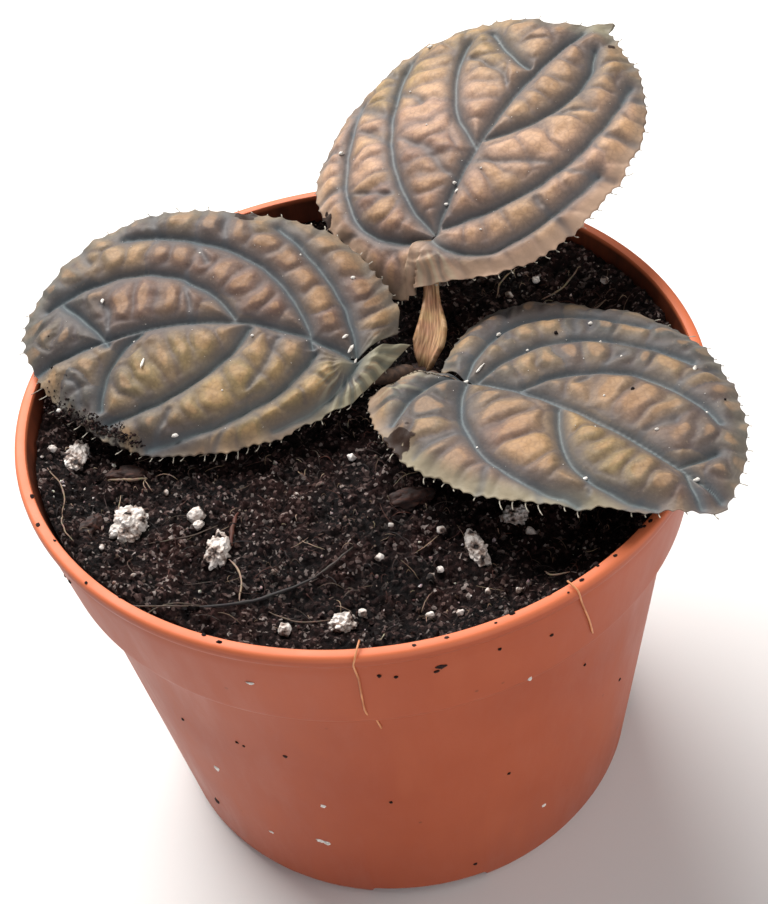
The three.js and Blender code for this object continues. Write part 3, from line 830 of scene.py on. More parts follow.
def grain(bm, stone, seed, rounds, rough, fine):
    x, y, a, b, c, turn, sunk = stone
    centre = (x, y, ground(x, y) + heaped(x, y) + c * (1 - 2 * sunk) + 0.25)
    made = lump(bm, centre, (a, b, c), math.radians(turn), rounds, rough, seed)
    for v in made:
        out = (v.co - Vector(centre)).normalized()
        v.co += out * (fine * noise.noise(v.co * 2.4 + Vector((seed, 0, 0))))
    return made


perlite, tree, place = new_material("expanded_perlite_peat_stained")
bubbles = add(tree, "TexVoronoi", {"Vector": place, "Scale": per_mm(0.55)}, feature="F1")
stain = add(tree, "TexNoise", {"Vector": place, "Scale": per_mm(1.6), "Detail": 5})
stained = add(
    tree, "ValToRGB", {"Fac": stain},
    stops=[(0.37, "#1d1413"), (0.43, "#8d786d"), (0.5, "#d2c7bf"), (0.7, "#f0eae5")],
)
pits = add(
    tree, "Bump", {"Strength": 1.0, "Distance": 0.35 * MM, "Height": bubbles.outputs["Distance"]},
)
glassy = add(tree, "BsdfPrincipled", {"Base Color": stained, "Roughness": 0.85, "Normal": pits})
add(tree, "OutputMaterial", {"Surface": glassy})

bark_fibre, tree, place = new_material("pine_bark_torn_and_composted")
strands = add(tree, "Mapping", {"Vector": place, "Scale": (0.3, 1, 1)})
strand = add(
    tree, "TexNoise", {"Vector": strands, "Scale": per_mm(0.5), "Detail": 5, "Roughness": 0.7},
)
strand_tone = add(
    tree, "ValToRGB", {"Fac": strand},
    stops=[(0.35, "#170c0a"), (0.55, "#36190f"), (0.72, "#5c3222")],
)
ridges = add(tree, "Bump", {"Strength": 0.9, "Distance": 0.2 * MM, "Height": strand})
woody = add(tree, "BsdfPrincipled", {"Base Color": strand_tone, "Roughness": 0.75, "Normal": ridges})
add(tree, "OutputMaterial", {"Surface": woody})

for k, stone in enumerate(PERLITE):
    bm = bmesh.new()
    grain(bm, stone, 20 + k, 5, 0.4, 0.4)
    finish_piece(bm, f"perlite_grain_{k + 1}", [perlite], [f"perlite_{k + 1}"])
for k, chip in enumerate(BARK):
    bm = bmesh.new()
    grain(bm, chip, 40 + k, 4, 0.5, 0.35)
    finish_piece(bm, f"bark_flake_{k + 1}", [bark_fibre], [f"bark_chip_{k + 1}"])

bm = bmesh.new()
for k, (x, y, r) in enumerate(SMALL_GRAINS):
    grain(bm, (x, y, r * 1.2, r, r * 0.9, 40 * k, 0.25), 60 + k, 2, 0.45, 0.1)
finish_piece(bm, "perlite_crumbs", [perlite])

# %% [markdown]
# ## The leaf, drawn flat
# A leaf is drawn flat before it is bent: s runs from the stalk along the midrib, t to its
# left. The outline is a smooth closed curve through given points, and the main veins
# are curves that start near the stalk and arch along the margin, as in all labisias. The
# values are the CAD part's own, so the finished blades lie where its solids do.

# %% Leaf shapes
# base is the midrib's foot. yaw, pitch and roll are degrees, and droop is degrees per mm.
# bend and curl say how the left and right half arch down, and how their basal lobes do.
# lean moves the lobes sideways. tip is the outline's point that the midrib runs to.
# overlap is the lobe on top (1 is the left one), how far it moves across, and how far up.
# hem is how far the left and right margin turn down at the base. pleats are fine folds: their
# place, reach and height. point is the drawn-out tip, and how far it is drawn.
# veins and cross are curves with three points each, s and t in turn.
LEAVES = {
    "left": {
        "base": (0.4, 1.6, 70), "yaw": 170, "pitch": 13, "droop": 0.65, "roll": -18,
        "bend": (0.010, 0.006), "curl": (0.02, 0.02), "lean": 0.8, "tip": 10,
        "overlap": (1, 0.6, 0.9), "hem": (0.2, 0.2), "pleats": (-1, 4.5, 5.5, 0.16),
        "point": (46, -7, 0.3, 0),
        "outline": [
            (-4.8, -2.2), (-4.4, -6), (-2.8, -10), (2, -18), (8, -21.6), (18, -23.8),
            (28, -24.8), (37, -21.5), (43.5, -15), (46, -7), (44, 0), (38.2, 7.4),
            (30, 13), (20, 14.2), (10, 12), (2, 7), (-3, 4.4), (-6.6, 1.4), (-1, 0),
        ],
        "veins": [
            (0, 0, 18, -10, 44, -0.5), (0, 0, 1.7, -11, 12.5, -21),
            (6, -1.5, 11, -19, 33, -20.5), (16.5, -5.5, 26, -19, 43, -10.5),
            (33.5, -2.7, 36, -6.5, 41, -11), (0, 0.5, 3, 7.5, 10, 10.7),
            (5.6, -0.5, 10.5, 10, 27, 13), (14.5, -4, 19, 6, 33, 9),
            (29, -4, 34, 0, 34, 7),
        ],
        "cross": [
            (21, -14.6, 22.2, -17.3, 23.4, -19.2), (19, -17.8, 18.8, -20.8, 19.5, -23.3),
            (38.5, 2.2, 36.9, 3.6, 36.6, 5.9),
            (28, -18.6, 28.5, -21.5, 29.5, -24), (37, -16.2, 38.5, -18, 39, -20),
            (16, 9.6, 17, 12, 17.6, 13.8), (24, 8.2, 25.5, 10.5, 26.2, 13),
            (10, -3, 12, 2, 13.6, 5.6), (22, -4.6, 22.5, -9, 23.5, -12.8),
            (34, -2.5, 33, -6, 34.6, -9.2),
        ],
    },
    "back": {
        "base": (12.7, 16.2, 77), "yaw": 50, "pitch": 27, "droop": 0.5, "roll": 0,
        "bend": (0.018, 0.010), "curl": (0.05, 0.02), "lean": 0, "tip": 9,
        "overlap": (-1, 2.2, 1.3), "hem": (0.2, 0.6), "pleats": (-5, -4, 4, 0.1),
        "point": (41.2, -4, 1.3, -1.3),
        "outline": [
            (-8, -0.8), (-5.4, -4.5), (-2.3, -9.5), (2, -14), (9, -17.5), (18, -19.2),
            (26, -18.4), (34, -14), (38, -9), (41.2, -4), (40.2, 0), (39.8, 8),
            (36, 17.5), (30, 25), (22, 27.8), (12, 28), (4, 25), (-1.8, 18.5),
            (-5, 11), (-8.6, 5), (-8.4, 1.2), (-1, 0),
        ],
        "veins": [
            (0, 0, 18, 3.5, 39.5, -2), (0, 0, -9, 16, 20.5, 26.5),
            (0.5, 0, 8, 17, 29.5, 22), (15, 1.5, 20.5, 11, 33.5, 13.6),
            (30, 1.5, 32, 6, 36, 10.8), (0, 0, -5, -10, 16.7, -16.2),
            (2, -0.4, 13, -15, 32, -13.2), (16.5, 0.8, 26, -11, 36.5, -5.5),
        ],
        "cross": [
            (12.7, 14.6, 14, 19.9, 14.3, 24.4), (17.4, 17.8, 18.4, 22.4, 18.4, 27.1),
            (15.5, -11.2, 16, -14.4, 16.9, -18.6), (22.8, -6.4, 25.3, -8.2, 26, -10.9),
            (22.8, -13.8, 22.7, -16.5, 23.5, -18.6), (25.7, 22.2, 27, 25, 27.6, 27.4),
            (9.3, 1.8, 13.1, 7.9, 13.4, 13.5), (9.7, -10.2, 8.9, -13.6, 7, -16.8),
            (4.6, 18.6, 2.7, 20.9, 1.1, 22.6), (10.5, 24.4, 10, 26.4, 9.6, 28),
            (26.2, 2.6, 29, 6, 29.6, 11.8), (29.5, -13, 30, -14.8, 31, -16.6),
            (4.5, 9, 4.4, 13, 3, 17.2), (12, 1.9, 14, -4, 15.6, -9.6),
            (-2.5, 12, -3.6, 14, -4.2, 16.2), (20.6, 13.5, 21.5, 16.5, 21.6, 20.2),
        ],
    },
    "right": {
        "base": (13.4, -5.8, 71), "yaw": -43, "pitch": 9, "droop": 0.4, "roll": -1,
        "bend": (0.008, 0.008), "curl": (0.008, 0.008), "lean": 0, "tip": 9,
        "overlap": (-1, 0.5, 0.5), "hem": (0.2, 0.4), "pleats": (-7, -4, 5, 0.08),
        "point": (38, -4, 0.3, 0),
        "outline": [
            (-9, -1.8), (-11.8, -5), (-9, -9.4), (-3, -13.2), (4, -15.8), (12, -16),
            (22, -13.2), (29, -9.8), (35.4, -5.8), (38, -4), (36.6, 5), (32.8, 11.5),
            (27, 17.8), (19, 22.8), (12, 24), (3, 22.3), (-5.5, 19), (-7.8, 13),
            (-7, 7), (-4.6, 0.8), (-1, 0),
        ],
        "veins": [
            (0, 0, 15, 3, 37.4, -2.3), (0, 0, -8.5, 18, 14, 21),
            (1.5, 0.8, 2.5, 17.5, 23, 17), (7.5, 1.5, 16, 16, 31.5, 8.5),
            (31, -1, 32, 1, 33.5, 3.3), (0, 0, -6, -2, -4, -10.5),
            (0.4, -0.5, 6, -14, 24, -11.8), (13.8, 0.4, 20, -11.5, 32, -7.5),
            (32, -1.2, 34, -3, 36.2, -4.6),
        ],
        "cross": [
            (5.8, -8.6, 4.3, -10.2, 2.5, -14), (4.4, 20.1, 6, 16.6, 7.6, 13.9),
            (23.8, 10.9, 24.3, 13.8, 26, 17.4), (24.9, 0.8, 25.4, 3.4, 26.9, 5.5),
            (24.6, -10.4, 24, -9, 22.7, -8), (0.1, 9.5, -3.3, 13.2, -5.3, 16.4),
            (14, 20.8, 14.4, 22, 15, 23.6), (12, -12.2, 12.4, -14, 13, -15.8),
            (19, -12.6, 19.6, -13.4, 20.4, -14), (8, 16.2, 7, 19, 6.4, 22.6),
            (13.6, 5.6, 14, 9, 15, 12.8), (29, -9.8, 29.6, -8.6, 30, -7.8),
        ],
    },
}
print(len(LEAVES), "leaves with", sum(len(leaf["veins"]) for leaf in LEAVES.values()), "veins")

# %% [markdown]
# ## Bending the flat leaf into place
# A real blade rises from its stalk and then hangs over under its own weight, and its two
# halves curve down from the midrib. The same formula as in the CAD part does that to any
# flat point: an arc along the leaf, an arc across it, and a curl at the basal lobes.


# %% Flat point to its real place
def leaf_axes(leaf, s):
    yaw, roll = math.radians(leaf["yaw"]), math.radians(leaf["roll"])
    slope = math.radians(leaf["pitch"] - leaf["droop"] * s)
    ahead = Vector((math.cos(yaw), math.sin(yaw), 0))
    left = Vector((-ahead.y, ahead.x, 0))
    flat_normal = -math.sin(slope) * ahead + math.cos(slope) * Vector((0, 0, 1))
    side = math.cos(roll) * left + math.sin(roll) * flat_normal
    normal = -math.sin(roll) * left + math.cos(roll) * flat_normal
    return ahead, side, normal


def blade_point(leaf, s, t, lift):
    ahead, side, normal = leaf_axes(leaf, s)
    start, rate = math.radians(leaf["pitch"]), math.radians(leaf["droop"])
    slope = start - rate * s
    along = (math.sin(start) - math.sin(slope)) / rate
    rise = (math.cos(slope) - math.cos(start)) / rate
    half = 0 if t > 0 else 1
    bend = leaf["bend"][half]
    across = math.sin(bend * t) / bend
    height = lift - leaf["curl"][half] * min(s, 0) ** 2 - (1 - math.cos(bend * t)) / bend
    middle = Vector(leaf["base"]) + ahead * along + Vector((0, 0, rise))
    return middle + side * across + normal * height


# %% [markdown]
# ## The outline as evenly spaced points
# The smooth curve through the given points is a Catmull-Rom spline of the centripetal
# kind, which never loops on itself. It is sampled finely, then resampled so that the points
# lie at equal steps along the margin, because the teeth of a leaf are evenly spaced too.

# %% Outline of a leaf
MARGIN_POINTS = 480
HALF = MARGIN_POINTS // 2
TEETH = 80
PER_TOOTH = MARGIN_POINTS // TEETH


def spline_piece(p0, p1, p2, p3, steps):
    gaps = [max(np.linalg.norm(b - a), 1e-6) ** 0.5 for a, b in ((p0, p1), (p1, p2), (p2, p3))]
    m1 = (p1 - p0) / gaps[0] - (p2 - p0) / (gaps[0] + gaps[1]) + (p2 - p1) / gaps[1]
    m2 = (p2 - p1) / gaps[1] - (p3 - p1) / (gaps[1] + gaps[2]) + (p3 - p2) / gaps[2]
    m1, m2 = m1 * gaps[1], m2 * gaps[1]
    u = np.linspace(0, 1, steps, endpoint=False)[:, None]
    cubic = 2 * p1 - 2 * p2 + m1 + m2
    square = -3 * p1 + 3 * p2 - 2 * m1 - m2
    return p1 + u * m1 + u**2 * square + u**3 * cubic


def even_steps(line, count):
    """The line's first count points when it is cut into count equal steps."""
    travel = np.r_[0, np.cumsum(np.linalg.norm(np.diff(line, axis=0), axis=1))]
    marks = np.linspace(0, travel[-1], count, endpoint=False)
    return np.stack([np.interp(marks, travel, line[:, k]) for k in (0, 1)], axis=1)


def leaf_margin(leaf):
    """The margin from one basal lobe round the tip to the other, and the outward directions."""
    corners = np.array(leaf["outline"][:-1], float)  # the notch itself is written last
    n, detail = len(corners), 60
    corners = np.vstack([2 * corners[0] - corners[1], corners, 2 * corners[-1] - corners[-2]])
    pieces = [spline_piece(*corners[k : k + 4], detail) for k in range(n - 1)]
    dense = np.vstack([*pieces, corners[-2:-1]])
    tip = leaf["tip"] * detail
    rim = [even_steps(dense[: tip + 1], HALF), even_steps(dense[tip:], HALF), dense[-1:]]
    rim = np.vstack(rim)
    along = np.gradient(rim, axis=0)
    along /= np.linalg.norm(along, axis=1)[:, None]
    return rim, np.stack([along[:, 1], -along[:, 0]], axis=1)


for name, leaf in LEAVES.items():
    rim, _ = leaf_margin(leaf)
    around = np.linalg.norm(np.diff(rim, axis=0), axis=1).sum()
    print(f"leaf {name}: margin {around:.0f} mm, a tooth every {around / TEETH:.2f} mm")

# %% [markdown]
# ## Quilting
# The blade between the sunken veins swells up into long cushions, and each cushion is nipped
# every few millimetres by a finer cross vein. Two distances describe it. The distance to the
# nearest main vein gives the cushion's round profile. Seeds placed along the middle of the
# cushions give cells, and the distance to a cell's border gives the nips.

# %% Distances that shape the quilting
QUILT_HEIGHT = 1.85
RIB_SPACING = 1.6
QUILT_REACH = 3.0
NIP_SPACING = 2.45
NIP_DEPTH = 0.2
RIB_DEPTH = 0.04
VEIN_SINK = 0.8
PLEATS_ROUND = 24  # as many folds as a full turn would have
RASTER = 0.4


def tree_of(points):
    made = kdtree.KDTree(len(points))
    for k, (s, t) in enumerate(points):
        made.insert((s, t, 0), k)
    made.balance()
    return made


def bezier(vein, u):
    s0, t0, s1, t1, s2, t2 = vein
    a, b, c = (1 - u) ** 2, 2 * u * (1 - u), u * u
    return a * s0 + b * s1 + c * s2, a * t0 + b * t1 + c * t2


def room(leaf, s, t):
    """How far a place is from the veins and, a little less strictly, from the margin."""
    where = (s, t, 0)
    return min(leaf["vein_tree"].find(where)[2], leaf["rim_tree"].find(where)[2] + 0.6)


def on_ridge(leaf, s, t, depth):
    """A place in the middle of a cushion: to both sides of it there is less room."""
    for turn in range(4):
        a, b = 1.1 * math.cos(turn * math.pi / 4), 1.1 * math.sin(turn * math.pi / 4)
        if room(leaf, s + a, t + b) < depth - 0.45 and room(leaf, s - a, t - b) < depth - 0.45:
            return True
    return False


def prepare(leaf, seed):
    """Search trees for the leaf's veins, margin and cushions. Returns how many cushions."""
    rim, _ = leaf_margin(leaf)
    veins = [bezier(vein, u) for vein in leaf["veins"] for u in np.linspace(0, 1, 160)]
    leaf["vein_tree"] = tree_of(veins)
    cross = [bezier(vein, u) for vein in leaf["cross"] for u in np.linspace(0, 1, 30)]
    leaf["cross_tree"] = tree_of(cross)
    hops = np.linalg.norm(np.diff(np.array(veins), axis=0, prepend=[veins[0]]), axis=1)
    leaf["travel"] = np.cumsum(np.minimum(hops, 1))
    slit = [lerp(rim[end], np.array([1.1, 0]), u) for end in (0, -1) for u in np.linspace(0, 1, 40)]
    leaf["rim_tree"] = tree_of([*rim, *slit])
    leaf["margin_tree"] = tree_of(rim)
    draw = random.Random(seed)
    spots = []
    for s in np.arange(rim[:, 0].min(), rim[:, 0].max(), RASTER):
        for t in np.arange(rim[:, 1].min(), rim[:, 1].max(), RASTER):
            depth = room(leaf, s, t)
            if depth > 1.0 and on_ridge(leaf, s, t, depth):
                spots.append((depth + draw.uniform(0, 2), s, t))
    spots.sort(reverse=True)
    seeds = []
    for _, s, t in spots:
        if all((s - a) ** 2 + (t - b) ** 2 > NIP_SPACING**2 for a, b in seeds):
            seeds.append((s, t))
    leaf["cell_tree"] = tree_of(seeds)
    return len(seeds)


def pleats(leaf, s, t):
    """Fine folds that fan out over a basal lobe."""
    a, b, reach, height = leaf["pleats"]
    near = math.exp(-((s - a) ** 2 + (t - b) ** 2) / reach**2) * smooth(1, 4, math.hypot(s, t))
    wander = 1.6 * noise.noise((s / 2, t / 2, 0))
    return height * near * math.sin(PLEATS_ROUND * math.atan2(t, s - 1.1) + wander)


def quilting(leaf, s, t):
    """Lift of the upper face, and the distances that its colours follow."""
    wander = Vector((noise.noise((s / 3, t / 3, 1)), noise.noise((s / 3, t / 3, 5)), 0))
    spot = Vector((s, t, 0))
    _, nearest, vein = leaf["vein_tree"].find(spot + wander * 0.25)
    vein = math.hypot(vein, 0.28) - 0.28
    rib = (leaf["travel"][nearest] / RIB_SPACING + 0.9 * wander.x) % 1
    rib = lerp(0.8, abs(rib - 0.5) * RIB_SPACING, smooth(3, 6, math.hypot(s, t)))
    edge = leaf["rim_tree"].find(spot)[2]
    cells = leaf["cell_tree"].find_n(spot + wander * 0.9, 2)
    nip = (cells[1][2] - cells[0][2]) / 2
    cross = leaf["cross_tree"].find(spot + wander * 0.6)[2]
    round_part = min(vein / QUILT_REACH, (cross + 0.8) / QUILT_REACH, 1)
    cushion = (1 - (1 - round_part) ** 2) ** 0.65
    margin = leaf["margin_tree"].find(spot)[2]
    rim_part = 0.5 + 0.5 * smooth(0.2, 3.4, margin)
    patchy = 0.5 + noise.noise((s / 2.5, t / 2.5, 7))
    nipped = 1 - NIP_DEPTH * math.exp(-((nip / 0.5) ** 2)) * smooth(0.3, 1.6, vein)
    nipped -= RIB_DEPTH * patchy * math.exp(-((rib / 0.3) ** 2)) * smooth(0.2, 1.0, vein)
    swell = 0.95 + 0.16 * noise.noise((s / 2.4, t / 2.4, 12))
    fine = 0.07 * noise.noise((s * 1.1, t * 1.1, 3)) + 0.035 * noise.noise((s * 2.6, t * 2.6, 3))
    lift = QUILT_HEIGHT * cushion * rim_part * nipped * swell - VEIN_SINK + pleats(leaf, s, t)
    return lift + fine * smooth(0.2, 1.2, vein), vein, nip, rib, edge, cells[0][1], cross


for k, (name, leaf) in enumerate(LEAVES.items()):
    print(f"leaf {name}: {prepare(leaf, 100 + k)} cushions")

# %% [markdown]
# ## Colour zones
# New labisia leaves are tan, gold and pink between slate-blue veins, and every leaf has its
# own mix. Soft round spots in the flat drawing say where a leaf turns warm, gold, pink, slate,
# pale or lime at its margin, dry brown, or dirty with peat. Each becomes a number on every
# vertex, and the leaf's material blends by them.

# %% Colour spots: s, t, radius, strength
COLOUR_SPOTS = {
    "left": {
        "warm": [(10, 2, 5, 0.4), (22, 6, 6, 0.3)],
        "gold": [(8, 6, 6, 0.9), (13, 8, 6, 0.8), (20, 3, 8, 0.8), (28, 2, 6, 0.7), (3, 3, 4, 0.6),
                 (30, -18, 5, 0.4), (14, -18, 5, 0.4)],
        "pink": [(14, -10, 9, 0.9), (26, -13, 9, 0.8), (4, -10, 7, 0.7), (34, -8, 6, 0.6)],
        "slate": [(42, -6, 8, 0.9), (38, 5, 8, 0.8), (44, -14, 8, 0.8), (30, 12, 6, 0.5),
                  (22, -22, 6, 0.7), (34, -21, 6, 0.7)],
        "pale": [(6, 9, 8, 0.4), (18, 14, 6, 0.3)], "lime": [(-2, 3, 5, 1), (3, 7, 5, 0.8)],
        "brown": [(16.8, -23.6, 1.7, 1)],
        "peat": [(41.5, 6.4, 2.2, 0.7), (38.5, 8.2, 2.2, 0.75), (35, 10.4, 2, 0.7),
                 (31, 12.8, 1.6, 0.6)],
    },
    "back": {
        "warm": [(4, 8, 14, 1), (-2, 16, 9, 1), (20, 20, 13, 1), (12, -8, 11, 0.9),
                 (32, 4, 10, 0.6), (6, -15, 8, 0.9), (24, -16, 9, 0.9)],
        "gold": [(26, 22, 5, 1), (21, 22, 5, 0.8), (34, 14, 7, 0.7), (31, 6, 6, 0.5),
                 (26, -6, 8, 0.5), (8, -9, 6, 0.5)],
        "pink": [(2, 8, 8, 0.7), (-3, 12, 7, 0.8), (6, -4, 6, 0.6), (12, 6, 6, 0.6)],
        "slate": [(40, 4, 7, 0.5), (33, -12, 6, 0.4)],
        "pale": [(-6, -4, 6, 1), (1, -12, 7, 1), (9, -17, 7, 0.9), (18, -19, 7, 0.6),
                 (-6, 10, 8, 0.8), (0, 20, 8, 0.6)],
        "lime": [(40.5, -3.5, 3.5, 0.8)], "brown": [(-1.5, 19.2, 1.8, 1), (37.8, -7.4, 1.2, 0.6)],
        "peat": [],
    },
    "right": {
        "warm": [(12, -7, 8, 0.6), (21, 4, 8, 0.4)],
        "gold": [(18, -4, 6, 1), (24, -4, 5, 0.9), (22, 8, 5, 0.5), (8, -5, 5, 0.4), (12, 9, 4, 0.4)],
        "pink": [(10, -8, 6, 0.7), (16, -9, 6, 0.5), (14, 9, 8, 0.5), (34, -2, 5, 0.6),
                 (24, 2, 6, 0.4)],
        "slate": [(-6, -3, 8, 1), (6, 18, 11, 1), (22, 18, 8, 0.8), (34, 6, 7, 0.6),
                  (-4, 12, 10, 1), (0, -8, 6, 0.5), (8, 4, 5, 0.5)],
        "pale": [(-10, -6, 5, 0.4), (-3, -13, 6, 0.4), (6, -16, 8, 0.4), (18, -14, 8, 0.4),
                 (30, -9, 7, 0.3)],
        "lime": [(2, -15, 7, 0.9), (14, -15, 7, 0.8), (24, -12, 7, 0.8)],
        "brown": [(-1.4, -13.2, 2.5, 1.1)], "peat": [],
    },
}
ZONES = ("warm", "gold", "pink", "slate", "pale", "lime", "brown", "peat")
RAGGED = {"brown": (1.3, 0.9, 3), "peat": (1.6, 1.3, 6)}  # steps per mm, depth, seed
MARGIN_ZONES = ("pale", "lime")
MARGIN_WIDTH = 3  # these fade out that far from the margin


def zone_strength(spots, s, t):
    """How strong a zone's soft spots are at many flat places, from 0 to 1."""
    total = np.zeros(len(s))
    for a, b, radius, strength in spots:
        total += strength * np.exp(-((s - a) ** 2 + (t - b) ** 2) / radius**2)
    return np.minimum(total, 1)


# %% [markdown]
# ## The blade
# One grid makes the blade. Its long side is wrapped round the margin, from one basal lobe to
# the tip and on to the other, and its short side runs from the margin to the midrib. So the
# rows follow the outline, the teeth stay sharp and the fold along the midrib is a clean line.
# The two halves meet point by point there and are welded. Solidify then gives the thickness.

# %% The surface of a leaf
BLADE_ROWS = 70
BLADE_THICKNESS = 0.5
TOOTH_REACH = 0.38
FAN_START = 0.03  # share of the midrib where the rows of the basal lobes meet
FAN_END = 0.95
LOBE_SHARE = 0.13  # share of a half's margin whose rows all end there
MIDRIB_SHARE = 0.8  # share whose rows spread along the midrib
THIN_EDGE = 0.15  # share of the thickness left at the margin
THIN_WIDTH = 1.6
EDGE_DROP = 0.3
EDGE_WIDTH = 1.2
HEM_WIDTH = 3.2


def overlap(leaf, s, t):
    """One basal lobe lies on the other: how far it is moved across, and how far it is raised."""
    side, aside, raised = leaf["overlap"]
    near = smooth(1.1, -2.5, s) * smooth(-0.5, 0.5, t * side)
    return -side * aside * near * math.exp(-abs(t) / 7), raised * near * math.exp(-abs(t) / 6)


def surface_height(leaf, s, t):
    """Height over the bent blade, the place across it, and the distances the colours follow."""
    lift, *distances = quilting(leaf, s, t)
    margin = leaf["margin_tree"].find((s, t, 0))[2]
    aside, raised = overlap(leaf, s, t)
    left, right = leaf["hem"]
    hem = lerp(lerp(right, left, smooth(-3, 3, t)), 0.2, smooth(1, 13, s)) * smooth(38, 28, s)
    drop = EDGE_DROP * math.exp(-margin / EDGE_WIDTH) + hem * smooth(HEM_WIDTH, 0, margin) ** 1.5
    ripple = 0.5 * noise.noise((s / 3, t / 3, 9)) * smooth(4, 0, margin)
    return lift + ripple - drop + raised, t + leaf["lean"] * min(s, 0) + aside, distances


# %% [markdown]
# ## Teeth and masks
# The margin points are pushed outwards in a small tooth each, a little uneven. While a vertex
# is placed, its distances also become masks for the material: how high it is on a cushion, how
# deep in a crease, how near the margin. They are stored as attributes, so the colours always
# fit the shape.


# %% Build a blade
def toothed_margin(leaf):
    """The margin with its teeth, a slow wave and the drawn-out tip."""
    rim, outward = leaf_margin(leaf)
    s, t, ds, dt = leaf["point"]
    for k in range(MARGIN_POINTS + 1):
        share = (k % PER_TOOTH) / PER_TOOTH
        tooth = max(0, 1 - abs(share - 0.5) * 2.6)
        size = 0.7 + 0.6 * noise.noise((k // PER_TOOTH * 1.7, 0.5, 0.5))
        from_stalk = smooth(6, 10, math.hypot(*rim[k]))
        wave = 0.45 * noise.noise((rim[k][0] / 3.5, rim[k][1] / 3.5, 2))
        sharp = math.exp(-((rim[k][0] - s) ** 2 + (rim[k][1] - t) ** 2) / 0.9)
        rim[k] += outward[k] * from_stalk * (TOOTH_REACH * tooth * size + wave - 0.1)
        rim[k] += sharp * np.array((ds, dt))
    return rim, outward


def midrib_point(leaf, k):
    """Where the row from margin point k ends on the midrib."""
    share = min(k, MARGIN_POINTS - k) / HALF
    share = min(max((share - LOBE_SHARE) / MIDRIB_SHARE, 0), 1)
    return np.array(bezier(leaf["veins"][0], lerp(FAN_START, FAN_END, share)))


MASKS = ("vein", "cross", "crest_light_and_shade", "crease", "rim", "cell", "pleat")


# The crest mask leads a painted highlight on the cushion tops and painted shade on their sides and at
# the nips, and the crease mask painted shade in the creases.
def masks(s, t, vein, nip, rib, edge, cell, cross):
    """One value for each mask but the last, from the distances at a flat place."""
    patchy = 0.75 + 0.9 * noise.noise((s / 2.5, t / 2.5, 7))
    bands = max(math.exp(-((nip / 0.33) ** 2)), 0.35 * math.exp(-((rib / 0.24) ** 2)))
    return (
        vein,
        cross,
        smooth(0.2, 2.3, min(vein, cross + 0.5)) * lerp(0.4, 1, smooth(0, 1.2, nip)),
        min(max(patchy, 0), 1) * bands * smooth(0.1, 0.9, vein),
        smooth(2.3, 0.5, edge) * smooth(0.3, 1.6, vein),
        (cell * 0.618) % 1,
    )


def blade_mesh(name, leaf):
    rim, _ = toothed_margin(leaf)
    bm = bmesh.new()
    bmesh.ops.create_grid(bm, x_segments=MARGIN_POINTS, y_segments=BLADE_ROWS, size=1)
    layers = {label: bm.verts.layers.float.new(label) for label in (*MASKS, *ZONES)}
    thin = bm.verts.layers.deform.new()
    verts = list(bm.verts)
    ends = [midrib_point(leaf, k) for k in range(MARGIN_POINTS + 1)]
    flat, edges = [], []
    for row in range(BLADE_ROWS + 1):
        spread = 1 - row / BLADE_ROWS
        for k in range(MARGIN_POINTS + 1):
            flat.append(ends[k] + spread * (rim[k] - ends[k]))
    for v, (s, t) in zip(verts, flat):
        height, across, distances = surface_height(leaf, s, t)
        v.co = blade_point(leaf, s, across, height)
        edges.append(distances[3])
        v[thin][0] = lerp(THIN_EDGE, 1, smooth(0, THIN_WIDTH, distances[3]))
        fold = pleats(leaf, s, t)
        for label, value in zip(MASKS, (*masks(s, t, *distances), fold)):
            v[layers[label]] = value
    flat, edges = np.array(flat), np.array(edges)
    for zone in ZONES:
        strength = zone_strength(COLOUR_SPOTS[name][zone], flat[:, 0], flat[:, 1])
        if zone in MARGIN_ZONES:
            strength *= np.clip((MARGIN_WIDTH - edges) / 2.2, 0, 1)
        if zone in RAGGED:
            finer, depth, seed = RAGGED[zone]
            ragged = [noise.noise((a * finer, b * finer, seed)) for a, b in flat]
            strength *= 1 + depth * np.array(ragged)
        for v, value in zip(verts, strength):
            v[layers[zone]] = value
    bmesh.ops.remove_doubles(bm, verts=bm.verts, dist=5e-4)
    bm.normal_update()
    if sum(face.normal.z for face in bm.faces) < 0:
        bmesh.ops.reverse_faces(bm, faces=bm.faces)
    return bm
